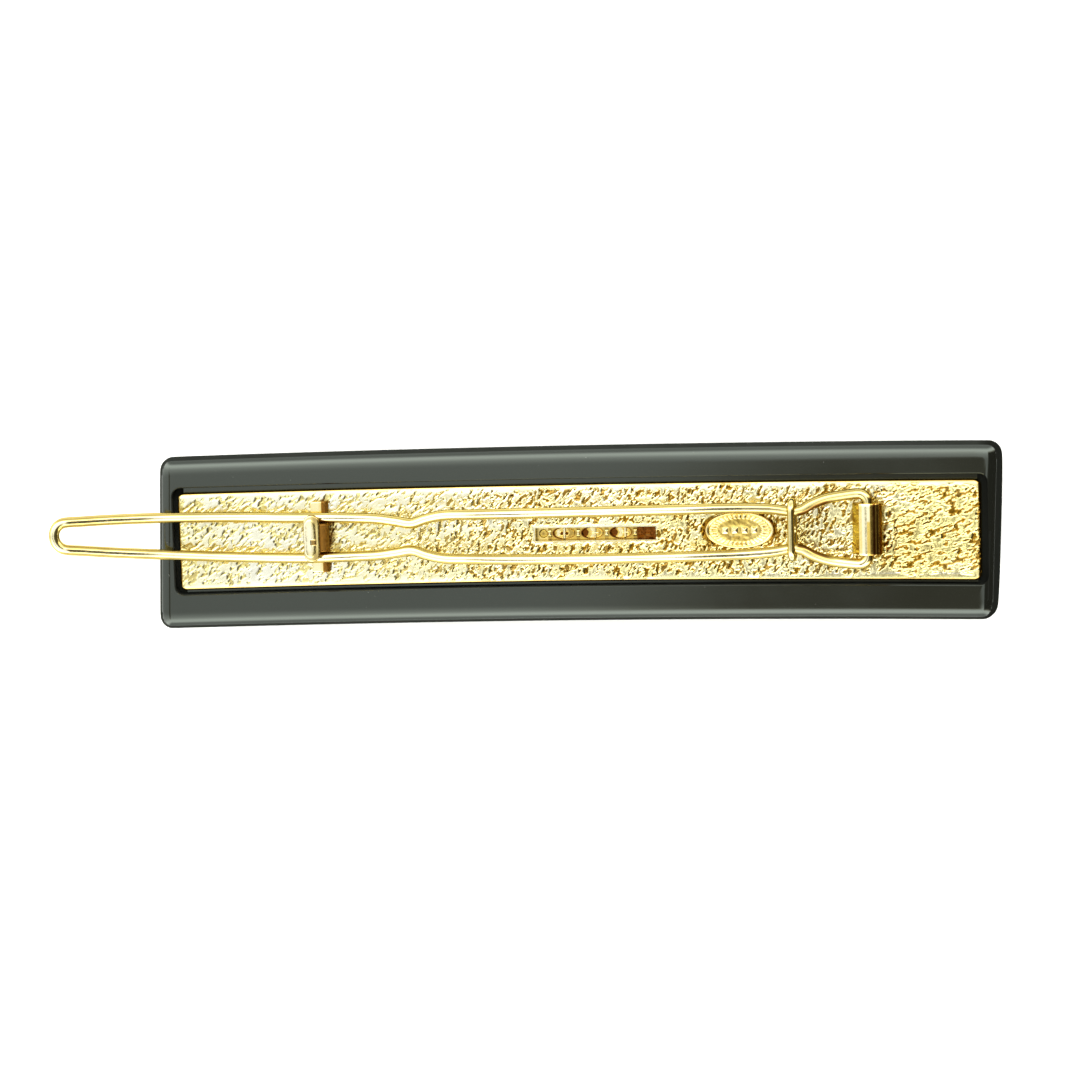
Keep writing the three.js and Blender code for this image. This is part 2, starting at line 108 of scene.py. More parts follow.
def seat(points, along, across, height):
    """Rows of local (x, y, z) of a straight piece that sits on the curved bar."""
    local = np.asarray(points, float)
    angle = along / BAR_RADIUS
    cos, sin = math.cos(angle), math.sin(angle)
    x = local[:, 0] * cos - local[:, 2] * sin
    z = local[:, 0] * sin + local[:, 2] * cos
    origin = bend([(along, across, height)])[0]
    return np.stack([x, local[:, 1], z], axis=1) * MM + origin


def new_object(name, points, faces, material, body, slot, *, sharp=None, replaced=(), **paint):
    """A smooth-shaded piece that rides on a body. sharp is the angle, in degrees, that stays an edge.
    paint holds values from 0 to 1 for each point: patina is how brown it is, from patina and from painted
    shade, and grain how rough its casting."""
    mesh = bpy.data.meshes.new(name)
    mesh.from_pydata(np.asarray(points).tolist(), [], faces)
    for layer, values in paint.items():
        painted = mesh.attributes.new(layer, "FLOAT", "POINT")
        painted.data.foreach_set("value", np.clip(np.asarray(values, float), 0, 1))
    mesh.validate()
    mesh.shade_smooth()
    if sharp:
        mesh.set_sharp_from_angle(angle=math.radians(sharp))
    piece = bpy.data.objects.new(name, mesh)
    bpy.context.scene.collection.objects.link(piece)
    mesh.materials.append(material)
    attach(piece, body)
    if replaced:
        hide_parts(*replaced)
    return piece


def repaint(piece, second, chosen):
    """Gives a second material to the faces that chosen(face) picks."""
    piece.data.materials.append(second)
    for face in piece.data.polygons:
        face.material_index = int(bool(chosen(face)))


# ---- Mesh helpers ----
def grid_faces(rows, columns, *, wrap=False, start=0):
    """Quads over rows of points. wrap joins each row's end to its start."""
    quads = []
    for r in range(rows - 1):
        for c in range(columns if wrap else columns - 1):
            a = start + r * columns + c
            b = start + r * columns + (c + 1) % columns
            quads.append((a, b, b + columns, a + columns))
    return quads


def loft(rings, *, closed=False):
    """Points and faces through equal rings. A closed loft joins its last ring to its first."""
    count, sides = len(rings), len(rings[0])
    points = np.concatenate([np.asarray(r, float) for r in rings])
    faces = grid_faces(count, sides, wrap=True)
    if closed:
        last = (count - 1) * sides
        faces += [(last + i, last + (i + 1) % sides, (i + 1) % sides, i) for i in range(sides)]
    else:
        faces.append(tuple(reversed(range(sides))))
        faces.append(tuple(range((count - 1) * sides, count * sides)))
    return points, faces


def rounded_rectangle(length, width, corner, steps=8, side=1):
    """Points round a rectangle with round corners, counterclockwise, with side spans to each straight."""
    x, y = length / 2 - corner, width / 2 - corner
    centres = [(x, y), (-x, y), (-x, -y), (x, -y)]
    arcs = []
    for quarter, (cx, cy) in enumerate(centres):
        turn = np.linspace(0, math.pi / 2, steps + 1) + quarter * math.pi / 2
        arcs.append(np.column_stack([cx + corner * np.cos(turn), cy + corner * np.sin(turn)]))
    points = []
    for arc, following in zip(arcs, arcs[1:] + arcs[:1]):
        share = (np.arange(1, side) / side)[:, None]
        points += [arc, arc[-1] * (1 - share) + following[0] * share]
    return np.concatenate(points)


def level_ring(outline, height):
    """An outline seen from above, as a ring at a height."""
    return np.column_stack([outline, np.full(len(outline), height)])


def upright_ring(outline, place):
    """An outline seen from the side, as a ring at a place across."""
    return np.column_stack([outline[:, 0], np.full(len(outline), place), outline[:, 1]])


def bmesh_of(points, faces):
    bm = bmesh.new()
    verts = [bm.verts.new(p) for p in np.asarray(points).tolist()]
    for f in faces:
        bm.faces.new([verts[i] for i in f])
    bmesh.ops.recalc_face_normals(bm, faces=bm.faces)
    return bm


def carve(shape, cutters):
    """The shape less the cutters, as a bmesh. Each is (points, faces)."""

    def temporary(name, points, faces):
        mesh = bpy.data.meshes.new(name)
        bm = bmesh_of(points, faces)
        bm.to_mesh(mesh)
        bm.free()
        made = bpy.data.objects.new(name, mesh)
        bpy.context.scene.collection.objects.link(made)
        return made

    body = temporary("carve_body", *shape)
    tools = [temporary("carve_tool", *c) for c in cutters]
    for tool in tools:
        step = body.modifiers.new("cut", "BOOLEAN")
        step.operation, step.solver, step.object = "DIFFERENCE", "EXACT", tool
    evaluated = body.evaluated_get(bpy.context.evaluated_depsgraph_get())
    result = bmesh.new()
    result.from_mesh(evaluated.to_mesh())
    evaluated.to_mesh_clear()
    for made in [body, *tools]:
        bpy.data.objects.remove(made)
    return result


def slice_along(bm, low, high, step):
    """Cuts the faces across X every step, so that they can follow the bend."""
    for x in np.arange(low, high, step):
        everything = bm.verts[:] + bm.edges[:] + bm.faces[:]
        bmesh.ops.bisect_plane(bm, geom=everything, plane_co=(x, 0, 0), plane_no=(1, 0, 0), dist=1e-5)


def arrays_of(bm):
    bm.verts.index_update()
    points = np.array([v.co for v in bm.verts], float)
    faces = [tuple(v.index for v in f.verts) for f in bm.faces]
    bm.free()
    return points, faces


def smooth_path(points, steps):
    """A centripetal Catmull-Rom curve through points, with the given steps between each two."""
    p = np.asarray(points, float)
    p = np.vstack([2 * p[0] - p[1], p, 2 * p[-1] - p[-2]])
    out = []
    for i in range(1, len(p) - 2):
        q = p[i - 1:i + 3]
        t = np.concatenate([[0], np.cumsum(np.linalg.norm(np.diff(q, axis=0), axis=1) ** 0.5)])
        for s in np.linspace(t[1], t[2], steps, endpoint=False):
            a = [(t[k + 1] - s) / (t[k + 1] - t[k]) * q[k] + (s - t[k]) / (t[k + 1] - t[k]) * q[k + 1]
                 for k in range(3)]
            b = [(t[k + 2] - s) / (t[k + 2] - t[k]) * a[k] + (s - t[k]) / (t[k + 2] - t[k]) * a[k + 1]
                 for k in range(2)]
            out.append((t[2] - s) / (t[2] - t[1]) * b[0] + (s - t[1]) / (t[2] - t[1]) * b[1])
    out.append(p[-2])
    return np.array(out)


def tube(path, radius, sides, *, end_round=0.3):
    """Rings round a path, turned as little as possible, with the ends rounded over."""
    tangents = np.gradient(path, axis=0)
    tangents /= np.linalg.norm(tangents, axis=1)[:, None]
    normal = np.cross(tangents[0], (0.3, 0.1, 1.0))
    angles = np.linspace(0, 2 * math.pi, sides, endpoint=False)
    rings = []
    for centre, tangent in zip(path, tangents):
        normal = normal - tangent * (normal @ tangent)
        normal /= np.linalg.norm(normal)
        other = np.cross(tangent, normal)
        rings.append(centre + radius * (np.outer(np.cos(angles), normal) + np.outer(np.sin(angles), other)))
    for shrink in (0.35, 0.7):
        start, finish = rings[0], rings[-1]
        lean = end_round * radius * shrink
        rings.insert(0, path[0] + (start - start.mean(0)) * (1 - shrink / 2) - tangents[0] * lean)
        rings.append(path[-1] + (finish - finish.mean(0)) * (1 - shrink / 2) + tangents[-1] * lean)
    return loft(rings)


# ---- Noise and shares for relief, patina and painted shade, the same on each run ----
def lattice_noise(x, y, seed):
    """Smooth noise from -1 to 1, one lump to a unit."""
    table = np.random.default_rng(seed).uniform(-1, 1, (256, 256))
    xi, yi = np.floor(x).astype(int), np.floor(y).astype(int)
    fx, fy = x - xi, y - yi
    fx, fy = fx * fx * (3 - 2 * fx), fy * fy * (3 - 2 * fy)

    def at(i, j):
        return table[(xi + i) % 256, (yi + j) % 256]

    low = at(0, 0) * (1 - fx) + at(1, 0) * fx
    high = at(0, 1) * (1 - fx) + at(1, 1) * fx
    return low * (1 - fy) + high * fy


def smoothstep(low, high, x):
    """0 below low, 1 above high."""
    t = np.clip((x - low) / (high - low), 0, 1)
    return t * t * (3 - 2 * t)


def fade(low, high, x):
    """1 below low, 0 above high."""
    return 1 - smoothstep(low, high, x)


def streak(x, place, width):
    """1 at a place, and less the further from it."""
    return np.exp(-((x - place) / width) ** 2)


def ellipse(x, y, length, width):
    """0 in an ellipse's middle, 1 on its edge."""
    return np.hypot(x / (length / 2), y / (width / 2))


# ---- Materials ----
RESIN, DUST, RESIN_EDGE = (0.004, 0.0045, 0.004), (0.16, 0.16, 0.15), (0.91, 1.0, 0.93)
# Colours of the resin's shaded copy: painted shade on the bar's steep sides and the pocket's ends.
SIDE_SHADE, SIDE_SHADE_PALER, SIDE_SHADE_DARKEST = (0.020, 0.0215, 0.0195), (0.027, 0.029, 0.026), (0.011, 0.0115, 0.010)
GOLD_EDGE = (0.7, 0.62, 0.34)
DEEP_AT = 0.4  # the patina and painted shade at which the metal has its deep colour, on the way from light to brown


def join(tree, value, socket):
    """Links a value that may be a socket or a plain number."""
    if isinstance(value, (int, float)):
        socket.default_value = value
    else:
        tree.links.new(value, socket)


def add_math(tree, operation, *values):
    node = tree.nodes.new("ShaderNodeMath")
    node.operation = operation
    for value, socket in zip(values, node.inputs):
        join(tree, value, socket)
    return node.outputs["Value"]


def add_range(tree, value, low, high, out_low=0.0, out_high=1.0, *, smooth=False):
    """Carries a value from one range onto another."""
    node = tree.nodes.new("ShaderNodeMapRange")
    if smooth:
        node.interpolation_type = "SMOOTHSTEP"
    for name, given in zip(("Value", "From Min", "From Max", "To Min", "To Max"),
                           (value, low, high, out_low, out_high)):
        join(tree, given, node.inputs[name])
    return node.outputs["Result"]


def add_mix(tree, factor, first, second):
    """Mixes two colours. Each is three numbers or a socket."""
    node = tree.nodes.new("ShaderNodeMix")
    node.data_type = "RGBA"
    join(tree, factor, node.inputs["Factor"])
    for colour, name in ((first, "A"), (second, "B")):
        socket = next(i for i in node.inputs if i.name == name and i.type == "RGBA")
        if isinstance(colour, tuple):
            socket.default_value = (*colour, 1)
        else:
            tree.links.new(colour, socket)
    return next(o for o in node.outputs if o.type == "RGBA")


def material(name, colour, *, metallic=0.0, roughness=0.3, **sockets):
    """A Principled material and its node tree, for the functions below to add detail to."""
    made = bpy.data.materials.new(name)
    made.use_nodes = True
    shader = made.node_tree.nodes["Principled BSDF"]
    shader.inputs["Base Color"].default_value = (*colour, 1)
    shader.inputs["Metallic"].default_value = metallic
    shader.inputs["Roughness"].default_value = roughness
    for socket, value in sockets.items():
        shader.inputs[socket.replace("_", " ")].default_value = value
    return made, made.node_tree, shader


def add_noise(tree, scale, *, detail=3.0, stretch=(1, 1, 1), turn=0):
    """Noise over the piece's own coordinates, in lumps per metre, stretched along X turned by turn degrees.
    Returns its value socket."""
    place = tree.nodes.new("ShaderNodeTexCoord")
    mapping = tree.nodes.new("ShaderNodeMapping")
    mapping.vector_type = "TEXTURE"
    mapping.inputs["Rotation"].default_value = (0, 0, math.radians(turn))
    mapping.inputs["Scale"].default_value = [1 / share for share in stretch]
    noise = tree.nodes.new("ShaderNodeTexNoise")
    noise.inputs["Scale"].default_value = scale
    noise.inputs["Detail"].default_value = detail
    tree.links.new(place.outputs["Object"], mapping.inputs["Vector"])
    tree.links.new(mapping.outputs["Vector"], noise.inputs["Vector"])
    return noise.outputs["Fac"]


def add_bump(tree, value, shader, height, strength=1.0):
    node = tree.nodes.new("ShaderNodeBump")
    node.inputs["Strength"].default_value = strength
    node.inputs["Distance"].default_value = height
    tree.links.new(value, node.inputs["Height"])
    tree.links.new(node.outputs["Normal"], shader.inputs["Normal"])


def add_painted(tree, layer):
    """The values painted on a piece's points under a name."""
    node = tree.nodes.new("ShaderNodeAttribute")
    node.attribute_name = layer
    return node.outputs["Fac"]


def resin_material():
    made, tree, shader = material("black_resin", RESIN, roughness=0.12, IOR=1.80)
    shader.inputs["Specular Tint"].default_value = (*RESIN_EDGE, 1)
    smear = add_noise(tree, 90, detail=4)
    tree.links.new(add_range(tree, smear, 0.3, 0.7, 0.09, 0.17), shader.inputs["Roughness"])
    dust = add_range(tree, add_noise(tree, 2600, detail=1), 0.80, 0.84)
    tree.links.new(add_mix(tree, dust, RESIN, DUST), shader.inputs["Base Color"])
    add_bump(tree, add_noise(tree, 55, detail=2), shader, 0.00002, 0.2)
    return made


def shaded_resin_material():
    """A copy of the resin with no reflection, for its steep outer sides and the pocket's ends: painted shade
    in place of the resin's reflection. It is darkest where the bar's right end has painted shade."""
    made, tree, shader = material("resin_painted_shade", (0.023, 0.025, 0.022), roughness=0.4, IOR=1.45,
                                  Specular_IOR_Level=0.0)
    tone = add_range(tree, add_noise(tree, 300, detail=4), 0.3, 0.7)
    clear = add_mix(tree, tone, SIDE_SHADE, SIDE_SHADE_PALER)
    shaded = add_mix(tree, add_painted(tree, "patina"), clear, SIDE_SHADE_DARKEST)
    tree.links.new(shaded, shader.inputs["Base Color"])
    add_bump(tree, add_noise(tree, 900), shader, 0.000004, 0.5)
    return made


def gold_material(name, light, deep, brown, *, roughness, grain, grain_height, pits=0.0):
    """Gold-coloured metal with a fine worked grain, in grains per metre and their height in metres. The
    patina and painted shade on the piece turn it brown, and pits is how deep, in metres, small pits are
    where it has grain; they are browned with patina and painted shade."""
    made, tree, shader = material(name, light, metallic=1.0, roughness=roughness)
    shader.inputs["Specular Tint"].default_value = (*GOLD_EDGE, 1)
    uneven = add_range(tree, add_noise(tree, 160), 0.35, 0.65, -0.06, 0.1)
    brownness = add_math(tree, "ADD", add_painted(tree, "patina"), uneven)
    fine = add_noise(tree, grain)
    height = add_math(tree, "MULTIPLY", fine, grain_height)
    if pits:
        # Small pits, browned with patina and painted shade in their hollows.
        flecks = add_noise(tree, 2100, detail=1.5, stretch=(0.5, 1, 1), turn=55)
        hollow = add_range(tree, flecks, 0.43, 0.37, smooth=True)
        hollow = add_math(tree, "MULTIPLY", hollow, add_painted(tree, "grain"))
        brownness = add_math(tree, "MAXIMUM", brownness, add_math(tree, "MULTIPLY", hollow, 0.95))
        height = add_math(tree, "SUBTRACT", height, add_math(tree, "MULTIPLY", hollow, pits))
    clean = add_mix(tree, add_range(tree, brownness, 0, DEEP_AT), light, deep)
    browned_and_shaded = add_mix(tree, add_range(tree, brownness, DEEP_AT, 1), clean, brown)
    tree.links.new(browned_and_shaded, shader.inputs["Base Color"])
    spread = add_range(tree, fine, 0.3, 0.7, roughness * 0.75, roughness * 1.35)
    tree.links.new(spread, shader.inputs["Roughness"])
    add_bump(tree, height, shader, 1.0, 1.0)
    return made


def crystal_material():
    made, tree, shader = material("cut_crystal", (0.97, 0.98, 1.0), roughness=0.0, IOR=1.56,
                                  Transmission_Weight=1.0)
    tree.links.new(add_range(tree, add_noise(tree, 900), 0.3, 0.7, 0.0, 0.03), shader.inputs["Roughness"])
    return made


def adhesive_material():
    made, tree, shader = material("cured_adhesive", (0.62, 0.58, 0.46), roughness=0.45)
    tone = add_range(tree, add_noise(tree, 700), 0.3, 0.7)
    tree.links.new(add_mix(tree, tone, (0.5, 0.46, 0.36), (0.68, 0.64, 0.52)), shader.inputs["Base Color"])
    return made


resin = resin_material()
shaded_resin = shaded_resin_material()
plate_gold = gold_material("cast_gold", (0.905, 0.885, 0.785), (0.89, 0.79, 0.36), (0.27, 0.14, 0.012),
                           roughness=0.2, grain=5200, grain_height=0.000003, pits=0.00003)
wire_gold = gold_material("wire_gold", (0.99, 0.93, 0.68), (0.66, 0.52, 0.17), (0.16, 0.07, 0.015),
                          roughness=0.16, grain=3800, grain_height=0.0000006)
fitting_gold = gold_material("fitting_gold", (1.0, 0.93, 0.66), (0.86, 0.63, 0.17), (0.16, 0.05, 0.008),
                             roughness=0.2, grain=3200, grain_height=0.0000008)
hook_gold = gold_material("hook_bronze", (0.98, 0.92, 0.70), (0.72, 0.58, 0.24), (0.22, 0.095, 0.015),
                          roughness=0.24, grain=3200, grain_height=0.0000004)
# A darker copy of the bronze: painted shade and reflection on the hook's post and the saddle's right side.
shaded_bronze = gold_material("bronze_painted_shade", (0.62, 0.40, 0.14), (0.46, 0.25, 0.06), (0.30, 0.14, 0.025),
                          roughness=0.5, grain=3200, grain_height=0.0000006)
crystal = crystal_material()
adhesive = adhesive_material()


# ---- The bar ----
def round_in(distance, radius):
    """How far a rounded corner has pulled in at a distance from the end."""
    left = max(0.0, radius - distance)
    return radius - math.sqrt(radius * radius - left * left)


def bar_section(half_width):
    power = 2 / FRONT_FULLNESS
    quarter = np.linspace(0, math.pi / 2, 36)
    front_y = half_width * np.sin(quarter) ** power
    front_z = BAR_WIDEST_W * (1 - np.clip(np.cos(quarter), 0, 1) ** power)
    edge = np.linspace(0, math.pi / 2, 30)
    fullness = 2 / BACK_FULLNESS
    edge_y = half_width - BACK_EDGE * (1 - np.clip(np.cos(edge), 0, 1) ** fullness)
    edge_z = BAR_THICKNESS - BACK_DROP * (1 - np.sin(edge) ** fullness)
    half = np.column_stack([np.r_[front_y, edge_y, 0], np.r_[front_z, edge_z, BAR_THICKNESS]])
    mirrored = half[1:-1][::-1] * (-1, 1)
    return np.vstack([half, mirrored])


def bar_rings():
    """The bar's sections, pulled in at its rounded ends."""
    middle = BAR_THICKNESS / 2
    turns = np.linspace(0, math.pi / 2, 14)[:-1]
    ends = BAR_LENGTH / 2 - END_ROUND * (1 - np.cos(turns))
    rings = []
    for along in np.r_[-ends, np.linspace(-42, 42, 29), ends[::-1]]:
        share = 2 * along / BAR_LENGTH
        half_width = BAR_END_WIDTH / 2 + BAR_BELLY / 2 * (1 - share * share)
        pulled = round_in(BAR_LENGTH / 2 - abs(along), END_ROUND)
        section = bar_section(half_width)
        across = section[:, 0] * (half_width - pulled) / half_width
        height = middle + (section[:, 1] - middle) * (middle - pulled) / middle
        rings.append(np.column_stack([BAR_X + along + END_SKEW * across, across, height]))
    return rings


def pocket_ring(height, grow):
    size = rounded_rectangle(POCKET_LENGTH + 2 * grow, POCKET_WIDTH + 2 * grow, POCKET_CORNER + grow)
    return level_ring(size + (POCKET_X, POCKET_Y), height)


def make_bar():
    lip, over = POCKET_LIP, 0.1
    pocket = loft([
        pocket_ring(POCKET_FLOOR, 0), pocket_ring(BAR_THICKNESS - lip, 0),
        pocket_ring(BAR_THICKNESS - lip * 0.3, lip * 0.3), pocket_ring(BAR_THICKNESS + over, lip + over),
    ])
    width = CUP_SIZE + CUP_ROOM + 2 * BEZEL_WALL + BEZEL_GAP
    ornament = rounded_rectangle((STONES - 1) * STONE_PITCH + width, width, 0.6) + (ORNAMENT_X, 0)
    slot = loft([level_ring(ornament, height) for height in (-1, POCKET_FLOOR + 0.5)])
    carved = carve(loft(bar_rings()), [pocket, slot])
    slice_along(carved, -BAR_LENGTH / 2 + 1.0, BAR_LENGTH / 2 - 0.9, 0.8)
    points, faces = arrays_of(carved)

    def is_shaded(face):
        """Whether a face is at one of the pocket's ends or is one of the bar's steep sides, which have
        painted shade.
        """
        x, y, z = points[list(face.vertices)].mean(axis=0)
        in_pocket = (PLATE_LENGTH / 2 - 0.4 < abs(x - POCKET_X) < POCKET_LENGTH / 2 + 0.01
                     and abs(y - POCKET_Y) < POCKET_WIDTH / 2 + 0.01
                     and POCKET_FLOOR - 0.1 < z < BAR_THICKNESS - lip)
        return in_pocket or (0.5 < z and abs(face.normal.z) < SIDE_TURN)

    # Painted shade on the bar's sides, darkest at its right end.
    painted_end_shade = smoothstep(SIDES_DARK_FROM, SIDES_DARK_TO, points[:, 0])
    piece = new_object("bar_resin", bend(points), faces, resin, "root", "resin",
                       sharp=32, replaced=["resin_bar"], patina=painted_end_shade)
    # The steep sides and the pocket's ends take the shaded copy of the resin: painted shade.
    repaint(piece, shaded_resin, is_shaded)
    return piece


# ---- The textured plate ----
# Its casting in the middle, at the left and at the right: each the strokes' angle to the bar in degrees,
# their length and width, and a seed.
STROKES = [(60, 0.42, 0.21, 3), (34, 0.54, 0.23, 11), (20, 0.5, 0.2, 21)]
STROKE_DEPTHS = (0.15, 0.05, 0.15)
PIT_BROWNS = (1.0, 0.55, 1.0)
PLATE_STEP, PLATE_RIM_STEP = 0.096, 0.05  # the spacing of its points, and that within its rim
PLATE_RIM = 0.2  # how wide its rounded rim is
PLATE_SLOPE, PLATE_SLOPE_REACH = 0.12, 0.95  # how far its top falls towards the edge, and from where
PLATE_BORDER = 0.6  # the width of its golder border
SEAM_X, BLOT_X = 33.5, 8.95


def strokes(along, across, angle, length, width, seed):
    """Noise drawn out into short strokes that lie at an angle, in degrees, to the bar."""
    turn = math.radians(angle)
    x = along * math.cos(turn) + across * math.sin(turn)
    y = across * math.cos(turn) - along * math.sin(turn)
    wide = lattice_noise(x / length, y / width, seed)
    fine = lattice_noise(x / (0.55 * length) + 9.1, y / (0.55 * width) + 4.7, seed + 1)
    return 0.68 * wide + 0.42 * fine


def plate_zones(along):
    """How far each place belongs to the plate's middle, its left end and its right end."""
    right = smoothstep(26, 37, along)
    left = fade(-30, -4, along)
    return np.clip(1 - right - left, 0, 1), left, right


def marks_and_shadows(along, across, field):
    """The casting's seam, right of the hinge, the blot at the slot's end, and all the brown that isn't in
    the texture: also painted shadow and reflection of the hook beside the catch, and painted shadow round
    the plaque."""
    seam = np.abs(along - SEAM_X - 0.12 * lattice_noise(across / 0.7, across * 0, 41))
    seam = fade(0.05, 0.22, seam) * (np.abs(across + 0.8) < 2.5)
    blot = fade(0.3, 0.6, np.hypot((along - BLOT_X) / 0.75, across + 0.15) + 0.3 * field)
    comb = lattice_noise(across / 0.16, across * 0, 43)
    # Painted shadow and reflection of the hook on the plate beside the catch, with comb-like edges.
    beside = along - (CATCH_X + SADDLE_WIDTH / 2 - 0.2)
    catch = (beside > -1.5) * fade(0.2, 1.3, beside + 0.45 * comb)
    catch = catch * fade(1.5, 1.75, np.abs(across - CLASP_Y))
    # Painted shadow round the plaque, strongest at its ends.
    left_of_tag = (TAG_X - along) / (TAG_LENGTH / 2)
    round_tag = ellipse(along - TAG_X, across - TAG_Y, TAG_LENGTH, TAG_WIDTH)
    tag_shadow = fade(1.05, 1.13, round_tag - 0.07 * smoothstep(0.5, 0.9, left_of_tag))
    tag_shadow = tag_shadow * (0.4 + 0.6 * smoothstep(0.5, 0.9, np.abs(left_of_tag)))
    return seam, blot, np.maximum.reduce([0.8 * seam, 0.95 * catch, blot, tag_shadow])


def plate_relief(along, across):
    """Height of the cast texture over the plate's top, in millimetres, its patina and painted shade, and its
    grain.
    """
    zones = plate_zones(along)
    middle, _, right = zones
    field = sum(zone * strokes(along, across, *lie) for zone, lie in zip(zones, STROKES))
    depth = sum(zone * share for zone, share in zip(zones, STROKE_DEPTHS))
    brown = sum(zone * share for zone, share in zip(zones, PIT_BROWNS))
    rolling = lattice_noise(along / 1.6, across / 1.1, 31)
    upper = smoothstep(-1.0, 4.0, across) * (1 - right)  # the upper half is the less worked
    pits = smoothstep(0.15, 0.27, -field - 0.05 * upper + 0.04 * right)
    relief = depth * ((0.24 + 0.14 * right) * field - 0.7 * pits) + 0.025 * rolling
    ground = (0.2 + 0.1 * rolling) * middle * (1 - 0.6 * upper) + (0.38 + 0.1 * rolling) * right
    # The pits' brown is patina and painted shade in their hollows.
    patina = np.maximum(pits * brown, ground + 0.05)

    # The texture stops short of the plate's edge and of the slot, which has a smooth lip.
    edge = PLATE_WIDTH / 2 - np.abs(across - PLATE_Y)
    calm = smoothstep(0.4, 0.7, edge + 0.25 * rolling)
    slot_x = np.maximum(np.abs(along - WINDOW_X) - WINDOW_LENGTH / 2, 0)
    slot_y = np.maximum(np.abs(across) - WINDOW_WIDTH / 2, 0)
    lip = fade(0.15, 0.42, np.hypot(slot_x, slot_y))
    keep = calm * (1 - lip)
    relief, patina = relief * keep + 0.04 * lip, patina * keep + 0.14 * lip
    seam, blot, browned_and_shaded = marks_and_shadows(along, across, field)
    return relief - 0.06 * seam - 0.05 * blot, np.maximum(patina, browned_and_shaded), keep * (0.5 + 0.5 * middle)


def grid_lines(*stops):
    """Values through each pair of stops, each (value, the spacing up to the next stop)."""
    out = []
    for (low, spacing), (high, _) in zip(stops, stops[1:]):
        out.append(np.linspace(low, high, max(1, round((high - low) / spacing)), endpoint=False))
    return np.concatenate(out + [[stops[-1][0]]])


def plate_lines(reach, low, high):
    """Grid lines from -reach to reach, close together in the rims, through the slot's sides."""
    return grid_lines((-reach, PLATE_RIM_STEP), (-reach + PLATE_RIM, PLATE_STEP), (low, PLATE_STEP),
                      (high, PLATE_STEP), (reach - PLATE_RIM, PLATE_RIM_STEP), (reach, 1))


def slab_faces(cells):
    """The top and the walls of a slab on a grid of cells, each solid or not. The grid's points come column
    by column, first on the top and then underneath."""
    nv = cells.shape[1] + 1
    under = (cells.shape[0] + 1) * nv
    solid = np.pad(cells, 1)
    faces = []
    for i, j in np.argwhere(cells):
        a, b, c, d = i * nv + j, (i + 1) * nv + j, (i + 1) * nv + j + 1, i * nv + j + 1
        faces.append((a, b, c, d))
        sides = ((a, b, solid[i + 1, j]), (b, c, solid[i + 2, j + 1]),
                 (c, d, solid[i + 1, j + 2]), (d, a, solid[i, j + 1]))
        faces += [(q, p, p + under, q + under) for p, q, filled in sides if not filled]
    return faces


def underside_faces(nu, nv, window_columns, window_rows):
    """The slab's underside, in long strips whose corners are on the rims' own points."""
    i_left, i_right = window_columns
    j_low, j_high = window_rows
    total = nu * nv
    cuts = sorted({*range(0, nu - 1, 12), i_left, i_right, nu - 1})

    def side(i, first, last):
        """The points that the strips meet at in column i, up its rows."""
        if i in (0, nu - 1):
            rows_here = range(first, last + 1)
        elif i in (i_left, i_right):
            rows_here = sorted({first, last, *(j for j in range(j_low, j_high + 1) if first <= j <= last)})
        else:
            rows_here = (first, last)
        return [total + i * nv + j for j in rows_here]

    faces = []
    for i, k in zip(cuts, cuts[1:]):
        spans = [(0, j_low), (j_high, nv - 1)] if i_left <= i < i_right else [(0, nv - 1)]
        for first, last in spans:
            up, down = side(k, first, last), side(i, first, last)[::-1]
            bottom = [total + m * nv + first for m in range(i + 1, k)]
            upper = [total + m * nv + last for m in range(k - 1, i, -1)]
            loop = [down[-1], *bottom, *up, *upper, *down[:-1]]
            faces.append(tuple(reversed(loop)))
    return faces


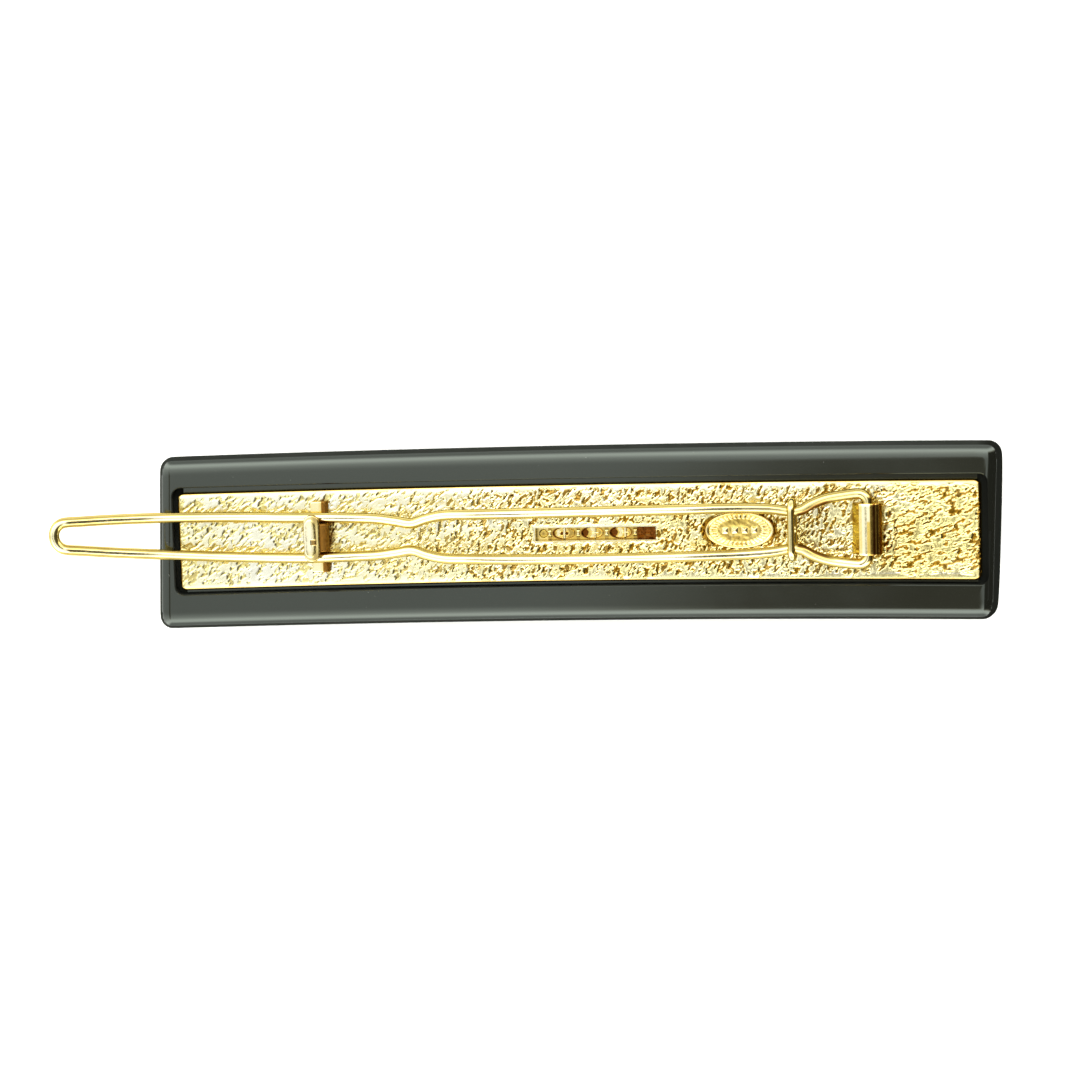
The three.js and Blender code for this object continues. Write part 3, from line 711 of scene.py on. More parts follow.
def make_plate():
    half, reach = PLATE_WIDTH / 2, PLATE_LENGTH / 2
    low, high = -WINDOW_WIDTH / 2 - PLATE_Y, WINDOW_WIDTH / 2 - PLATE_Y
    left, right = WINDOW_X - WINDOW_LENGTH / 2 - PLATE_X, WINDOW_X + WINDOW_LENGTH / 2 - PLATE_X
    rows, columns = plate_lines(half, low, high), plate_lines(reach, left, right)
    nu, nv = len(columns), len(rows)
    pull = np.array([round_in(reach - abs(c), PLATE_CORNER) for c in columns])
    along = np.repeat(columns[:, None], nv, axis=1)
    inside = np.clip((np.abs(rows) - high) / (half - high), 0, 1)  # keeps the slot's rows straight
    across = rows[None, :] - np.sign(rows)[None, :] * pull[:, None] * inside[None, :]
    to_edge = np.minimum(half - pull[:, None] - np.abs(across), reach - np.abs(along))
    in_rim = PLATE_RIM - np.clip(to_edge, 0, PLATE_RIM)
    fall = PLATE_RIM - np.sqrt(np.maximum(PLATE_RIM ** 2 - in_rim ** 2, 0))
    fall = fall + PLATE_SLOPE * (1 - np.clip(to_edge / PLATE_SLOPE_REACH, 0, 1)) ** 2
    along, across = along + PLATE_X, across + PLATE_Y
    relief, patina, grain = plate_relief(along, across)
    border = (0.2 + 0.15 * smoothstep(24, 34, along)) * (to_edge < PLATE_BORDER)
    # A golder band along the border, and painted shade along the very edge, where it falls into the gap to
    # the pocket.
    patina = np.maximum(patina, border + 0.9 * fade(0.12, 0.28, to_edge))
    top = PLATE_TOP + relief - fall
    points = np.vstack([np.stack([along, across, z], axis=2).reshape(-1, 3)
                        for z in (top, np.full_like(top, PLATE_BOTTOM))])

    mid_u, mid_v = (along[:-1, :-1] + along[1:, 1:]) / 2, (across[:-1, :-1] + across[1:, 1:]) / 2
    in_window = (np.abs(mid_u - WINDOW_X) < WINDOW_LENGTH / 2) & (np.abs(mid_v) < WINDOW_WIDTH / 2)
    window_columns = [int(np.argmin(np.abs(columns - x))) for x in (left, right)]
    window_rows = [int(np.argmin(np.abs(rows - y))) for y in (low, high)]
    faces = slab_faces(~in_window) + underside_faces(nu, nv, window_columns, window_rows)
    used = np.unique(np.concatenate([np.array(f) for f in faces]))
    renumber = np.full(len(points), -1)
    renumber[used] = np.arange(len(used))
    faces = [tuple(int(n) for n in renumber[list(f)]) for f in faces]
    shade = np.concatenate([patina.ravel(), np.full(nu * nv, 0.3)])[used]
    grain = np.concatenate([grain.ravel(), np.zeros(nu * nv)])[used]
    return new_object("plate_cast", bend(points[used]), faces, plate_gold, "root", "cast_brass",
                      sharp=50, replaced=["back_plate"], patina=shade, grain=grain)


# ---- The oval plaque, with a milled border and a row of pyramids ----
TAG_RIM, TAG_FIELD = 0.34, 0.2  # the heights of its rim and of the field inside it
TAG_TICKS, TICK_HEIGHT = 36, 0.07
PYRAMID_HALF, PYRAMID_SLOPE = 0.34, 0.4
PYRAMID_ROW = 2.0  # half the row's length


def tag_height(share, x, y, turns):
    """Heights round one ring of the plaque, at a share of its size."""
    rim = TAG_RIM - 0.5 * max(0.0, share - 0.955) * 4
    by_rim = float(smoothstep(0.87, 0.93, share))
    ticks = TICK_HEIGHT * smoothstep(0.62, 0.68, share) * fade(0.83, 0.87, share)
    field = TAG_FIELD + 0.012 * lattice_noise(x / 0.3, y / 0.3, 8)
    field = field + ticks * smoothstep(-0.2, 0.3, np.cos(turns * TAG_TICKS))
    from_middle = np.abs((x + 10.0) % 1.0 - 0.5)
    pyramid = np.maximum(0, PYRAMID_HALF - np.maximum(from_middle, np.abs(y)))
    field = field + np.where(np.abs(x) < PYRAMID_ROW, PYRAMID_SLOPE * pyramid, 0)
    return rim * by_rim + field * (1 - by_rim)


def make_tag():
    turns = np.linspace(0, 2 * math.pi, 240, endpoint=False)
    x, y = TAG_LENGTH / 2 * np.cos(turns), TAG_WIDTH / 2 * np.sin(turns)
    rings = [np.column_stack([x, y, 0 * x])]
    for share in np.concatenate([[1.0, 0.985, 0.955, 0.925], np.linspace(0.90, 0.03, 44)]):
        height = tag_height(share, share * x, share * y, turns)
        rings.append(np.column_stack([share * x, share * y, height]))
    points, faces = loft(rings)
    low = fade(0.2, 0.24, points[:, 2])
    out = ellipse(points[:, 0], points[:, 1], TAG_LENGTH, TAG_WIDTH)
    # Patina in the low field, and painted shade round the plaque's outermost edge.
    patina = 0.1 + 0.24 * low * (out < 0.95) + 0.06 * (out > 0.87) + 0.8 * smoothstep(0.955, 0.975, out)
    placed = seat(points, TAG_X, TAG_Y, PLATE_TOP + 0.03)
    return new_object("tag_oval", placed, faces, fitting_gold, "root", "cast_brass",
                      sharp=60, replaced=["oval_tag"], patina=patina)


# ---- The hinge knuckle ----
KNUCKLE_FRONT, KNUCKLE_FOOT, KNUCKLE_RISE = 1.46, 1.74, 1.26  # from the pivot


def fillet(corners, steps=7):
    """Points round an outline. Corners are (x, y, radius)."""
    out = []
    for k, (x, y, radius) in enumerate(corners):
        here = np.array([x, y])
        before = np.array(corners[k - 1][:2]) - here
        after = np.array(corners[(k + 1) % len(corners)][:2]) - here
        before, after = before / np.linalg.norm(before), after / np.linalg.norm(after)
        half = math.acos(np.clip(before @ after, -1, 1)) / 2
        reach = radius / math.tan(half)
        start, finish = here + before * reach, here + after * reach
        for t in np.linspace(0, 1, steps) if radius else [0.5]:
            out.append((1 - t) ** 2 * start + 2 * t * (1 - t) * here + t * t * finish)
    return np.array(out)


def refine(outline, spacing):
    """The closed outline with points added, so that none are further apart than spacing."""
    out = []
    for p, q in zip(outline, np.roll(outline, -1, axis=0)):
        count = max(1, math.ceil(np.linalg.norm(q - p) / spacing))
        out += [p + (q - p) * k / count for k in range(count)]
    return np.array(out)


def extruded(outline, width, edge, bore):
    """Rings across Y of a side view round a bore, with broken edges, and the bore's wall."""
    y = width / 2
    size = np.linalg.norm(outline, axis=1)[:, None]
    straight = np.linspace(-y + edge, y - edge, 26)
    places = np.r_[-y, -y + edge * 0.3, straight, y - edge * 0.3, y]
    shrinks = np.r_[edge, edge * 0.3, 0 * straight, edge * 0.3, edge]
    outer = [upright_ring(outline * (1 - shrink / size), place) for place, shrink in zip(places, shrinks)]
    inner = [upright_ring(outline / size * bore, place) for place in (y, -y)]
    return loft(outer + inner, closed=True)


def make_knuckle():
    foot = 0.03 - HINGE_HEIGHT
    roll = [(KNUCKLE_FRONT * math.cos(t), 0.02 + KNUCKLE_RISE * math.sin(t), 0.0)
            for t in np.linspace(0.1, 1.75, 15)]
    outline = fillet([(-KNUCKLE_FOOT, foot, 0.05), (KNUCKLE_FRONT, foot, 0.05), *roll, (-0.72, 1.14, 0.12)])
    points, faces = extruded(refine(outline, 0.08), KNUCKLE_LENGTH, 0.12, BORE_RADIUS)
    # Painted shade and highlights: tan on the left flank, olive to dark brown on the right side, with two
    # painted glints across it.
    x = points[:, 0]
    upper = smoothstep(0.7, 0.9, points[:, 1])
    olive = 0.45 * smoothstep(0.05, 0.15, x - 0.3 * upper)
    right_side = olive + 0.2 * smoothstep(0.35, 0.45, x) + 0.35 * smoothstep(0.6, 0.75, x)
    glints = streak(x, 0.95, 0.05) + 0.8 * streak(x, 1.2, 0.04)
    left_side = 0.3 * fade(-0.45, -0.35, x) + 0.25 * fade(-0.8, -0.7, x)
    placed = seat(points, HINGE_X, CLASP_Y, PLATE_TOP + HINGE_HEIGHT)
    return new_object("knuckle", placed, faces, fitting_gold, "root", "fitting_brass",
                      sharp=40, replaced=["hinge_knuckle"], patina=right_side - 0.55 * glints + left_side)


# ---- The catch: a bent saddle and the hook on it ----
SADDLE_BEND, SADDLE_CORNER, SADDLE_EDGE = 0.6, 0.32, 0.12  # its outer bend, corners in plan, broken edge
SADDLE_DARK_FROM = 0.28  # where its right side, with painted shade, begins
HEAD_TOP_EDGE = 0.18  # how wide the rounded edge of the hook's head is
DOME_X, DOME_RISE, GROOVE_X, GROOVE_DEPTH, NOTCH_Y = -0.12, 0.085, 0.43, 0.05, -0.4
POST_GROWTH, POST_ROLL, POST_EDGE = 0.1, 0.75, 0.12  # past the CAD's size, its rolled top, broken edge


def make_saddle():
    half, top, sheet = SADDLE_WIDTH / 2, SADDLE_TOP, SADDLE_SHEET
    outline = fillet([
        (half, 0.02, 0.03), (half, top, SADDLE_BEND), (-half, top, 0.1), (-half, top - sheet, 0.1),
        (half - sheet, top - sheet, 0.2), (half - sheet, 0.02, 0.03),
    ])
    outline = refine(outline, 0.07)
    y = SADDLE_LENGTH / 2
    depths = np.r_[0, 0.02, 0.06, 0.12, 0.2, SADDLE_CORNER]
    rings = []
    for depth, sign in [*((d, -1) for d in depths), *((d, 1) for d in depths[::-1])]:
        pulled = round_in(depth, SADDLE_CORNER) * (outline[:, 0] < 0)
        lowered = round_in(depth, SADDLE_EDGE) * (outline[:, 1] > 0.9)
        rings.append(upright_ring(outline + np.column_stack([pulled, -lowered]), sign * (y - depth)))
    points, faces = loft(rings)
    x = points[:, 0]
    # Painted shade on its right side and less towards the middle, with a painted glint along its bend, and
    # browner at its two ends.
    patina = smoothstep(0.2, 0.32, x) - 0.55 * streak(x, 0.55, 0.08) + 0.25 * smoothstep(-0.3, 0.2, x)
    patina = np.maximum(patina, 0.1 + 0.3 * smoothstep(y - 0.12, y, np.abs(points[:, 1])))
    placed = seat(points, CATCH_X, CLASP_Y, PLATE_TOP)
    piece = new_object("saddle", placed, faces, fitting_gold, "root", "fitting_brass",
                       sharp=40, replaced=["catch_saddle"], patina=patina)
    repaint(piece, shaded_bronze, lambda face: x[list(face.vertices)].mean() > SADDLE_DARK_FROM)
    return piece


def hook_top(x, y):
    """How far the top of the hook's head is below its highest point, over the head's own centre, and its
    patina and painted shade: a long dome left of the middle, a groove right of it, a square notch and a flat
    rim, with painted shade in the groove and the notch, along the edge and towards its right side and its
    ends."""
    radius, straight = HEAD_WIDTH / 2, HEAD_LENGTH / 2 - HEAD_WIDTH / 2
    inset = radius - np.hypot(x, np.maximum(np.abs(y) - straight, 0))
    wide = np.where(x < DOME_X, 0.6, 0.62 - 0.16 * (np.abs(y) / 2) ** 2)
    reach = np.hypot((x - DOME_X) / wide, np.maximum(np.abs(y) - 1.1, 0) / 0.85)
    notch = smoothstep(-0.12, -0.06, x) * fade(0.24, 0.29, np.abs(y - NOTCH_Y)) * (x < 0.5)
    dome = DOME_RISE * np.sqrt(np.clip(1 - reach ** 2, 0, 1)) * (1 - notch)
    groove = streak(x + 0.05 * y * y, GROOVE_X, 0.06) * fade(0.9, 1.5, np.abs(y))
    in_edge = 1 - np.clip(inset / HEAD_TOP_EDGE, 0, 1)
    edge = 0.16 * (1 - np.sqrt(np.clip(1 - in_edge ** 2, 0, 1)))
    outline = fade(0.02, 0.09, inset)
    warm = 0.5 * smoothstep(-0.1, 0.35, x) + 0.35 * smoothstep(0.9, 1.9, np.abs(y))
    patina = np.maximum.reduce([groove, 0.9 * notch, outline, 0.8 * warm])
    return 0.14 - dome + edge + GROOVE_DEPTH * groove, patina


def hook_head():
    """The pill-shaped head's points, faces, and patina and painted shade, over the catch's middle."""
    radius, half = HEAD_WIDTH / 2, HEAD_LENGTH / 2
    low, high = HEAD_BOTTOM, HEAD_BOTTOM + HEAD_THICKNESS
    rings, shades = [], []

    def pill(inset):
        length, width = 2 * (radius - inset), 2 * (half - inset)
        return rounded_rectangle(length, width, radius - inset - 0.001, steps=16, side=70)

    for inset, rise in [(0.25, 0), (0.08, 0.05), (0.0, 0.18)]:
        outline = pill(inset)
        rings.append(level_ring(outline + (HEAD_SHIFT, 0), low + rise))
        shades.append(np.full(len(outline), 0.7))
    edge = np.linspace(0.0, HEAD_TOP_EDGE, 8)
    for inset in np.concatenate([edge, np.linspace(HEAD_TOP_EDGE + 0.02, radius - 0.015, 28)]):
        outline = pill(inset)
        drop, patina = hook_top(*outline.T)
        rings.append(np.column_stack([outline + (HEAD_SHIFT, 0), high - drop]))
        shades.append(patina)
    return *loft(rings), np.concatenate(shades)


def hook_post():
    """The post's points, faces and painted shade: dark brown, with paler streaks of painted reflection down
    its right face. It rises from the saddle's right edge and rolls over into the head."""
    bottom, top = SADDLE_TOP + 0.02, HEAD_BOTTOM + 0.3
    outer, inner = POST_SHIFT + POST_THICKNESS / 2 + POST_GROWTH, POST_SHIFT - POST_THICKNESS / 2
    outline = refine(fillet([
        (outer, bottom, 0.03), (outer, top, POST_ROLL), (inner - 0.5, top, 0.1),
        (inner - 0.5, HEAD_BOTTOM + 0.05, 0.05), (inner, HEAD_BOTTOM + 0.05, 0.1), (inner, bottom, 0.03),
    ]), 0.12)
    wide = POST_WIDTH / 2 + POST_GROWTH
    rings = []
    straight = np.linspace(-wide + POST_EDGE, wide - POST_EDGE, 44)
    for place in [-wide, -wide + 0.04, *straight, wide - 0.04, wide]:
        pulled = round_in(wide - abs(place), POST_EDGE)
        cut = [pulled * (outline[:, 0] > POST_SHIFT), pulled * (outline[:, 1] > bottom + 0.3)]
        rings.append(upright_ring(outline - np.column_stack(cut), place))
    points, faces = loft(rings)
    streaks = lattice_noise(points[:, 1] / 0.14, points[:, 1] * 0, 47)
    right_side = smoothstep(POST_SHIFT + 0.25, outer, points[:, 0])
    return points, faces, 0.95 - 0.35 * smoothstep(0.05, 0.5, streaks) * right_side


def make_hook():
    head, head_faces, head_patina = hook_head()
    post, post_faces, post_patina = hook_post()
    faces = head_faces + [tuple(i + len(head) for i in f) for f in post_faces]
    placed = seat(np.vstack([head, post]), CATCH_X, CLASP_Y, PLATE_TOP)
    piece = new_object("hook", placed, faces, hook_gold, "root", "fitting_brass", sharp=60,
                       replaced=["catch_hook"], patina=np.concatenate([head_patina, post_patina]))
    # The post takes the darker copy of the bronze: painted shade.
    repaint(piece, shaded_bronze, lambda face: min(face.vertices) >= len(head))
    return piece


# ---- The clasp that swings ----
WIRE_SIDES, RING_SIDES = 28, 24
WIRE_MEAN_HEIGHT = 1.8  # over the plate, for working out how far along the bar a point of the wire is


def clasp_points(rows):
    rows = np.asarray(rows, float)
    lean = np.maximum(0, (SKEW_FROM - rows[:, 0]) / (SKEW_FROM - FINGER_X))
    across = CLASP_Y + rows[:, 1] + FINGER_SKEW * lean
    return bend(np.column_stack([rows[:, 0], across, PLATE_TOP + rows[:, 2]]))


def facing(points, sides):
    """The way each point of a tube faces, out from the middle of its ring."""
    rings = points.reshape(-1, sides, 3)
    out = rings - rings.mean(axis=1, keepdims=True)
    return (out / np.linalg.norm(out, axis=2, keepdims=True)).reshape(-1, 3)


def wire_patina(points):
    """Painted shade on the sides of the round wire, browner towards the hinge; in its hinge loop, painted
    shade on each strand's inner side and on its right-hand side; and beside the post, on each strand's inner
    side, a painted reflection of the post: a dark streak that tapers off."""
    out = facing(points, WIRE_SIDES)
    radius = BAR_RADIUS - PLATE_TOP - WIRE_MEAN_HEIGHT
    along = BAR_RADIUS * np.arcsin((points[:, 0] / MM - MIDDLE_X) / radius)
    inward = -np.sign(points[:, 1] / MM - CLASP_Y) * out[:, 1]
    # Painted shade on the wire's sides.
    border = 0.46 * smoothstep(0.25, 0.65, np.hypot(out[:, 0], out[:, 1])) + 0.05
    in_loop = smoothstep(23.4, 23.9, along)
    throat = 0.95 * in_loop * fade(26.5, 28.6, along) * smoothstep(0.2, 0.42, inward)
    corner = 0.9 * in_loop * smoothstep(0.3, 0.5, out[:, 0])
    taper = np.clip((along - (CATCH_X + 0.2)) / 1.7, 0, 1)
    # A painted reflection of the post on each strand's inner side.
    beside_post = (along > CATCH_X + 0.1) * (taper < 1)
    beside_post = beside_post * smoothstep(0.35 + 0.5 * taper, 0.5 + 0.5 * taper, inward)
    golder = 0.24 * smoothstep(15.0, 23.0, along)
    return np.maximum.reduce([border, throat, corner, beside_post, golder])


def make_wire():
    turn = KNUCKLE_LENGTH / 2 + 0.05
    straight = [(HINGE_X, y, HINGE_HEIGHT) for y in np.linspace(WIRE_END_GAP / 2, turn, 4)]
    corner = [(HINGE_X - HINGE_CORNER * (1 - math.cos(a)), turn + HINGE_CORNER * math.sin(a), HINGE_HEIGHT)
              for a in np.linspace(0, math.pi / 2, 5)[1:]]
    strand = straight + corner + STRAND
    finger = [(FINGER_X - FINGER_RADIUS * math.cos(a), FINGER_RADIUS * math.sin(a), FINGER_HEIGHT)
              for a in np.linspace(math.pi / 2, -math.pi / 2, 9)]
    mirrored = [(x, -y, z) for x, y, z in reversed(strand)]
    path = smooth_path(clasp_points(strand + finger + mirrored), 7)
    points, faces = tube(path, WIRE_RADIUS * MM, WIRE_SIDES)
    return new_object("wire", points, faces, wire_gold, "clasp", "wire",
                      replaced=["clasp_wire"], patina=wire_patina(points))


def make_ring():
    reach = WIRE_RADIUS + RING_CLEARANCE + RING_RADIUS
    arc = np.linspace(-math.pi / 2, math.pi / 2, 15)
    right = np.column_stack([NECK_HALF + reach * np.cos(arc), reach * np.sin(arc)])
    left = np.column_stack([-NECK_HALF - reach * np.cos(arc), -reach * np.sin(arc)])
    flat = np.vstack([[(0.04, -reach)], right, left, [(-0.04, -reach)]])
    path = smooth_path(np.column_stack([np.zeros(len(flat)), flat]), 4)
    points, faces = tube(path, RING_RADIUS, RING_SIDES)
    out = facing(points, RING_SIDES)[:, 0]
    # Painted shade on the ring's right side, and less on its left.
    patina = 0.45 * smoothstep(0.45, 0.8, out) + 0.2 * smoothstep(0.3, 0.7, -out) + 0.2
    placed = seat(points, NECK_X, CLASP_Y, PLATE_TOP + NECK_HEIGHT)
    return new_object("ring", placed, faces, wire_gold, "clasp", "wire",
                      replaced=["clasp_ring"], patina=patina)


# ---- The row of cups and crystals, seen through the slot and from the front ----
CUP_WALL, CUP_FRONT, CUP_BACK, CUP_FLOOR = 0.2, 0.35, 2.8, 0.45
OPENING_LENGTH, OPENING_WIDTH = 2.3, 1.22
CROSSES = {2: (0.02, 0.11), 3: (0.27, 0.05), 4: (0.42, 0.10)}  # an upright's place and half thickness
FOILS = {3: -0.84, 4: -0.74}  # where the stone's dark foil shows
LINK_HALF, LINK_WAIST, LINK_FLARE, WEB_WIDTH = 0.36, 0.13, 0.11, 2.2
# The crystals' rings: size, height and how much their corners are cut.
STONE_RINGS = [(1.4, 0.15, 0.22), (1.78, 0.3, 0.2), (2.1, 0.6, 0.16), (2.1, 0.75, 0.16), (1.5, 1.22, 0.2),
               (0.7, 1.78, 0.18), (0.12, 1.95, 0.03)]


def seat_flat(points, along):
    """The ornament is straight, so its pieces are only moved to the root's place."""
    return (np.asarray(points, float) + (MIDDLE_X + along, 0, FRONT_Z)) * MM


def boss_back(x, y):
    boss = fade(0.8, 1.0, ellipse(x - 0.82, y, 0.9, 0.9))
    wall = fade(-1.28, -1.16, x)
    return 0.12 * boss, 0.24 + 0.2 * boss + 0.3 * np.exp(-ellipse(x - 0.82, y, 0.3, 0.3) ** 2) + 0.6 * wall


# The fifth cup's back is dark all over, with a mottle.
def dark_back(x, y):
    mottle = lattice_noise(x / 0.25, y / 0.25, 51)
    return 0.02 * mottle, 0.93 + 0.08 * mottle


def pierced_back(number, x, y):
    """The stone's dark foil shows in the opening, at the left, and a thin cross stands in it."""
    rim = ellipse(x, y, OPENING_LENGTH, OPENING_WIDTH)
    opening = fade(0.88, 1.0, rim)
    arc = streak(rim, 1.0, 0.17) * (0.22 * fade(-0.5, 0.3, x) + 0.78)
    centre, thick = CROSSES[number]
    upright = fade(thick, thick + 0.05, np.abs(x - centre)) * (np.abs(y) < 0.6)
    if number == 2:
        cross = upright * opening
        dark = fade(0.7, 1.0, np.minimum(ellipse(x + 0.27, y + 0.05, 0.34, 0.42),
                                         ellipse(x - 0.28, y + 0.05, 0.26, 0.42)))
        pale = fade(0.3, 0.7, np.abs(x + 0.35)) * opening
    else:
        level = fade(0.05, 0.1, np.abs(y)) * (np.abs(x - centre) < 0.38)
        cross = np.maximum(upright, level) * opening
        dark = fade(0.85, 1.0, ellipse(x - FOILS[number], y, 0.8, 0.9))
        pale = fade(0.35, 0.75, np.abs(x - 0.1)) * opening
    facets = 0.16 * np.sign(np.sin(7 * x + 5 * np.abs(y) + number))
    patina = 0.52 + facets * opening - 0.34 * pale
    patina = np.maximum.reduce([patina, arc, dark]) * (1 - cross)
    return -0.16 * opening - 0.08 * dark * opening + 0.2 * cross, patina


def cup_back(number, x, y):
    """Height of a cup's back over its plain face, in millimetres, and its patina."""
    if number == 1:
        return boss_back(x, y)
    if number == STONES:
        return dark_back(x, y)
    return pierced_back(number, x, y)


def make_cup(number, along):
    half, seen = CUP_SIZE / 2, 0.8  # the middle of the back, seen through the slot, has the most points
    xs = np.linspace(-half, half, 66)
    ys = np.concatenate([np.linspace(-half, -seen, 6)[:-1], np.linspace(-seen, seen, 44),
                         np.linspace(seen, half, 6)[1:]])
    x, y = (g.ravel() for g in np.meshgrid(xs, ys, indexing="ij"))
    height, patina = cup_back(number, x, y)
    nx, ny = len(xs), len(ys)
    faces = grid_faces(nx, ny)
    border = ([i * ny for i in range(nx)] + [(nx - 1) * ny + j for j in range(1, ny)]
              + [i * ny + ny - 1 for i in range(nx - 2, -1, -1)] + [j for j in range(ny - 2, 0, -1)])
    edge = np.column_stack([x[border], y[border]])
    inner = (CUP_SIZE - 2 * CUP_WALL) / CUP_SIZE
    levels = [(1, CUP_BACK - 0.1), (1, CUP_FRONT), (inner, CUP_FRONT), (inner, CUP_BACK - CUP_FLOOR)]
    points = [np.column_stack([x, y, CUP_BACK + height])]
    points += [level_ring(edge * size, z) for size, z in levels]
    count, top = len(border), nx * ny
    skirt = [border] + [range(top + k * count, top + (k + 1) * count) for k in range(len(levels))]
    for upper, lower in zip(skirt, skirt[1:]):
        faces += [(upper[k], lower[k], lower[(k + 1) % count], upper[(k + 1) % count]) for k in range(count)]
    faces.append(tuple(skirt[-1]))
    faces = [tuple(reversed(f)) for f in faces]
    points = np.vstack(points)
    shade = np.concatenate([patina, np.full(len(points) - top, 0.4)])
    return new_object(f"cup_{number}", seat_flat(points, along), faces, fitting_gold, "root",
                      "fitting_brass", sharp=50, replaced=[f"crystal_cup_{number}"], patina=shade)


def make_link(number, along):
    """A cast bridge between two cups, drawn in at its waist, with a lower web that fills the gap."""
    gap = STONE_PITCH - CUP_SIZE
    turns = np.linspace(-1, 1, 15)
    right = np.column_stack([LINK_WAIST + LINK_FLARE * turns ** 2, LINK_HALF * turns])
    waist = np.vstack([right, right[::-1] * (-1, 1)])
    points, faces = loft([level_ring(waist * size, CUP_BACK + rise)
                          for size, rise in [(1.0, -0.1), (1.0, 0.08), (0.9, 0.15), (0.6, 0.18)]])
    web = rounded_rectangle(gap + 0.02, WEB_WIDTH, 0.05, steps=3)
    web_points, web_faces = loft([level_ring(web, CUP_BACK - depth) for depth in (0.6, 0.08)])
    faces = faces + [tuple(i + len(points) for i in f) for f in web_faces]
    shade = np.concatenate([np.full(len(points), 0.05), np.full(len(web_points), 0.68)])
    points = np.vstack([points, web_points])
    return new_object(f"link_{number}", seat_flat(points, along), faces, fitting_gold, "root",
                      "fitting_brass", sharp=50, replaced=[f"cup_link_{number}"], patina=shade)


def make_stone(number, along):
    """A square crystal with cut corners: a table, two rows of crown facets, a girdle and a foiled back."""
    def ring(size, height, cut):
        half, c = size / 2, size / 2 - cut
        side = [(half, -c), (half, c), (c, half), (-c, half)]
        return [(x, y, height) for x, y in side + [(-x, -y) for x, y in side]]

    points, faces = loft([ring(*given) for given in STONE_RINGS])
    piece = new_object(f"stone_{number}", seat_flat(points, along), faces, crystal, "root", "crystal",
                       replaced=[f"crystal_{number}"], patina=np.full(len(points), 0.2))
    piece.data.shade_flat()
    repaint(piece, fitting_gold, lambda face: face.normal.z > 0.2)
    return piece


def finish_node(name, finish, bevel):
    """The looks of a CAD piece that stays as it is, with softened edges."""
    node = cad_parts[name]
    node.data.materials.clear()
    node.data.materials.append(finish)
    if bevel:
        soften = node.modifiers.new("edges", "BEVEL")
        soften.width, soften.segments = bevel * MM, 2
        soften.limit_method, soften.angle_limit = "ANGLE", math.radians(35)


# ---- Camera ----
YAW, PITCH, ROLL = 7.94, 5.06, -1.58  # degrees off a view from straight behind
TARGET_X, TARGET_Y, TARGET_HEIGHT = -3.554, -0.537, 4.9  # from the bar's middle
CAMERA_DISTANCE, LENS, SENSOR = 260.0, 83.8, 36.0


def add_camera():
    yaw, pitch, roll = (math.radians(a) for a in (YAW, PITCH, ROLL))
    target = Vector((MIDDLE_X + TARGET_X, TARGET_Y, TARGET_HEIGHT)) * MM
    back = Vector((math.tan(yaw), math.tan(pitch), 1)).normalized()
    right = (-back).cross(Vector((0, 1, 0))).normalized()
    up = right.cross(-back)
    x_axis = math.cos(roll) * right + math.sin(roll) * up
    y_axis = math.cos(roll) * up - math.sin(roll) * right
    data = bpy.data.cameras.new("camera")
    data.sensor_width, data.lens = SENSOR, LENS
    data.clip_start, data.clip_end = 0.01, 10
    camera = bpy.data.objects.new("camera", data)
    turned = Matrix((x_axis, y_axis, back)).transposed().to_4x4()
    camera.matrix_world = Matrix.Translation(target + back * CAMERA_DISTANCE * MM) @ turned
    bpy.context.scene.collection.objects.link(camera)
    bpy.context.scene.camera = camera


# ---- Floor and light ----
OVERHEAD = 0.9  # the light straight overhead
SIDE_SHIFT = 13.0  # degrees by which the light upwards in the photo begins sooner
# Steps of the light towards both sides: from and to how many degrees, what they add, in parts of OVERHEAD.
LIGHT_STEPS = [(4, 26, 1, 2.1), (22, 45, 0, 2.4), (46, 68, 0, -3.2), (68, 89, 0, 0.05)]
PANEL_LIGHT, WALL_LIGHT = 0.3, 0.1
LIGHT_COLOUR, DARK_COLOUR = (0.98, 1.0, 0.93), (1.0, 0.9, 0.62)


def add_floor():
    bpy.ops.mesh.primitive_plane_add(size=6)
    floor = bpy.context.object
    floor.name = "floor"
    pale, _, _ = material("pale_floor", (0.94, 0.93, 0.95), roughness=0.9, Specular_IOR_Level=0.1,
                          Emission_Color=(1, 1, 1, 1), Emission_Strength=0.2)
    floor.data.materials.append(pale)


def add_product(tree, product, *others):
    for value in others:
        product = add_math(tree, "MULTIPLY", product, value)
    return product


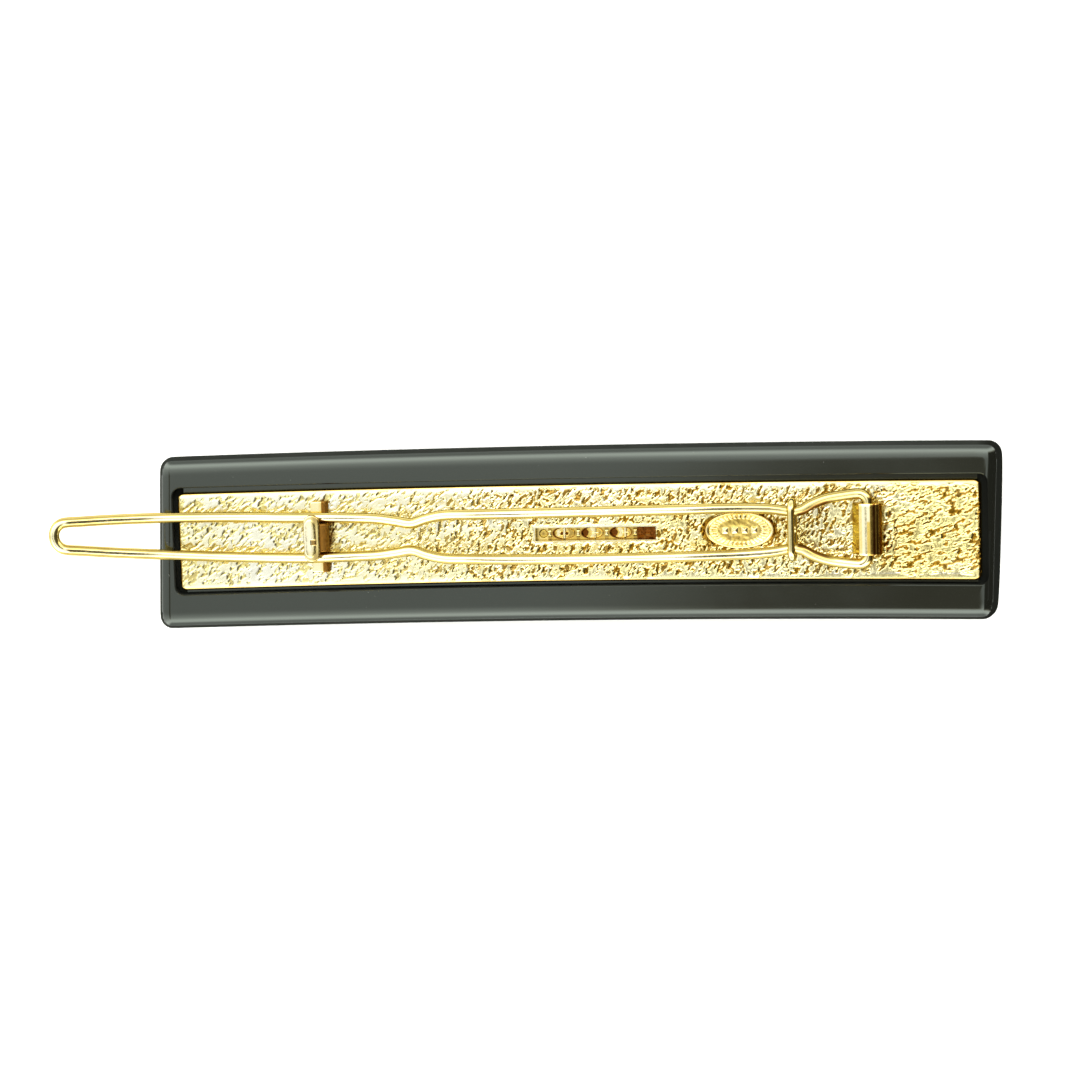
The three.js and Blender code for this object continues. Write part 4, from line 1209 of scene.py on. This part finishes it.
def add_world():
    """A studio of soft light: bright overhead and brighter along both sides, with one dark panel overhead
    to the left and a dark wall on the right. Places are in degrees that the light leans from overhead."""
    world = bpy.data.worlds.new("studio")
    bpy.context.scene.world = world
    world.use_nodes = True
    tree = world.node_tree
    place = tree.nodes.new("ShaderNodeTexCoord")
    parts = tree.nodes.new("ShaderNodeSeparateXYZ")
    tree.links.new(place.outputs["Generated"], parts.inputs["Vector"])
    x, y, z = parts.outputs
    lean_x = add_math(tree, "DEGREES", add_math(tree, "ARCTAN2", x, add_math(tree, "MAXIMUM", z, 0.02)))
    lean_y = add_math(tree, "DEGREES", add_math(tree, "ARCSINE", y))
    side = add_math(tree, "MAXIMUM", add_math(tree, "ADD", lean_y, SIDE_SHIFT),
                    add_math(tree, "MULTIPLY", lean_y, -1.0))

    bright = 0.0
    for low, high, start, finish in LIGHT_STEPS:
        step = add_range(tree, side, low, high, start * OVERHEAD, finish * OVERHEAD, smooth=True)
        bright = add_math(tree, "ADD", bright, step)

    panel_edge = add_range(tree, lean_y, -7, 8, -10, -22, smooth=True)
    past_edge = add_math(tree, "SUBTRACT", lean_x, panel_edge)
    panel = add_product(tree, add_range(tree, past_edge, -2.5, 2.5, 1, 0, smooth=True),
                        add_range(tree, lean_x, -26, -22, smooth=True),
                        add_range(tree, lean_y, -34, -24, smooth=True),
                        add_range(tree, side, 34, 46, 1, 0, smooth=True))
    wall = add_product(tree, add_range(tree, lean_x, 9, 16, smooth=True),
                       add_range(tree, side, 30, 42, 1, 0, smooth=True))
    dark = add_math(tree, "MAXIMUM", panel, wall)

    strength = add_range(tree, dark, 0, 1, bright, add_range(tree, wall, 0, 1, PANEL_LIGHT, WALL_LIGHT))
    colour = add_mix(tree, dark, LIGHT_COLOUR, DARK_COLOUR)
    background = tree.nodes["Background"]
    tree.links.new(colour, background.inputs["Color"])
    tree.links.new(strength, background.inputs["Strength"])


# ---- The barrette and its studio ----
make_bar()
make_plate()
make_tag()
make_knuckle()
make_saddle()
make_hook()
make_wire()
make_ring()
finish_node("front_bezel", fitting_gold, 0.12)
finish_node("plate_adhesive", adhesive, 0)
for stone in range(1, STONES + 1):
    place = ORNAMENT_X + (stone - (STONES + 1) / 2) * STONE_PITCH
    make_cup(stone, place)
    make_stone(stone, place)
for link in range(1, STONES):
    make_link(link, ORNAMENT_X + (link - STONES / 2) * STONE_PITCH)
add_camera()
add_floor()
add_world()
bpy.context.scene.view_settings.view_transform = "Standard"
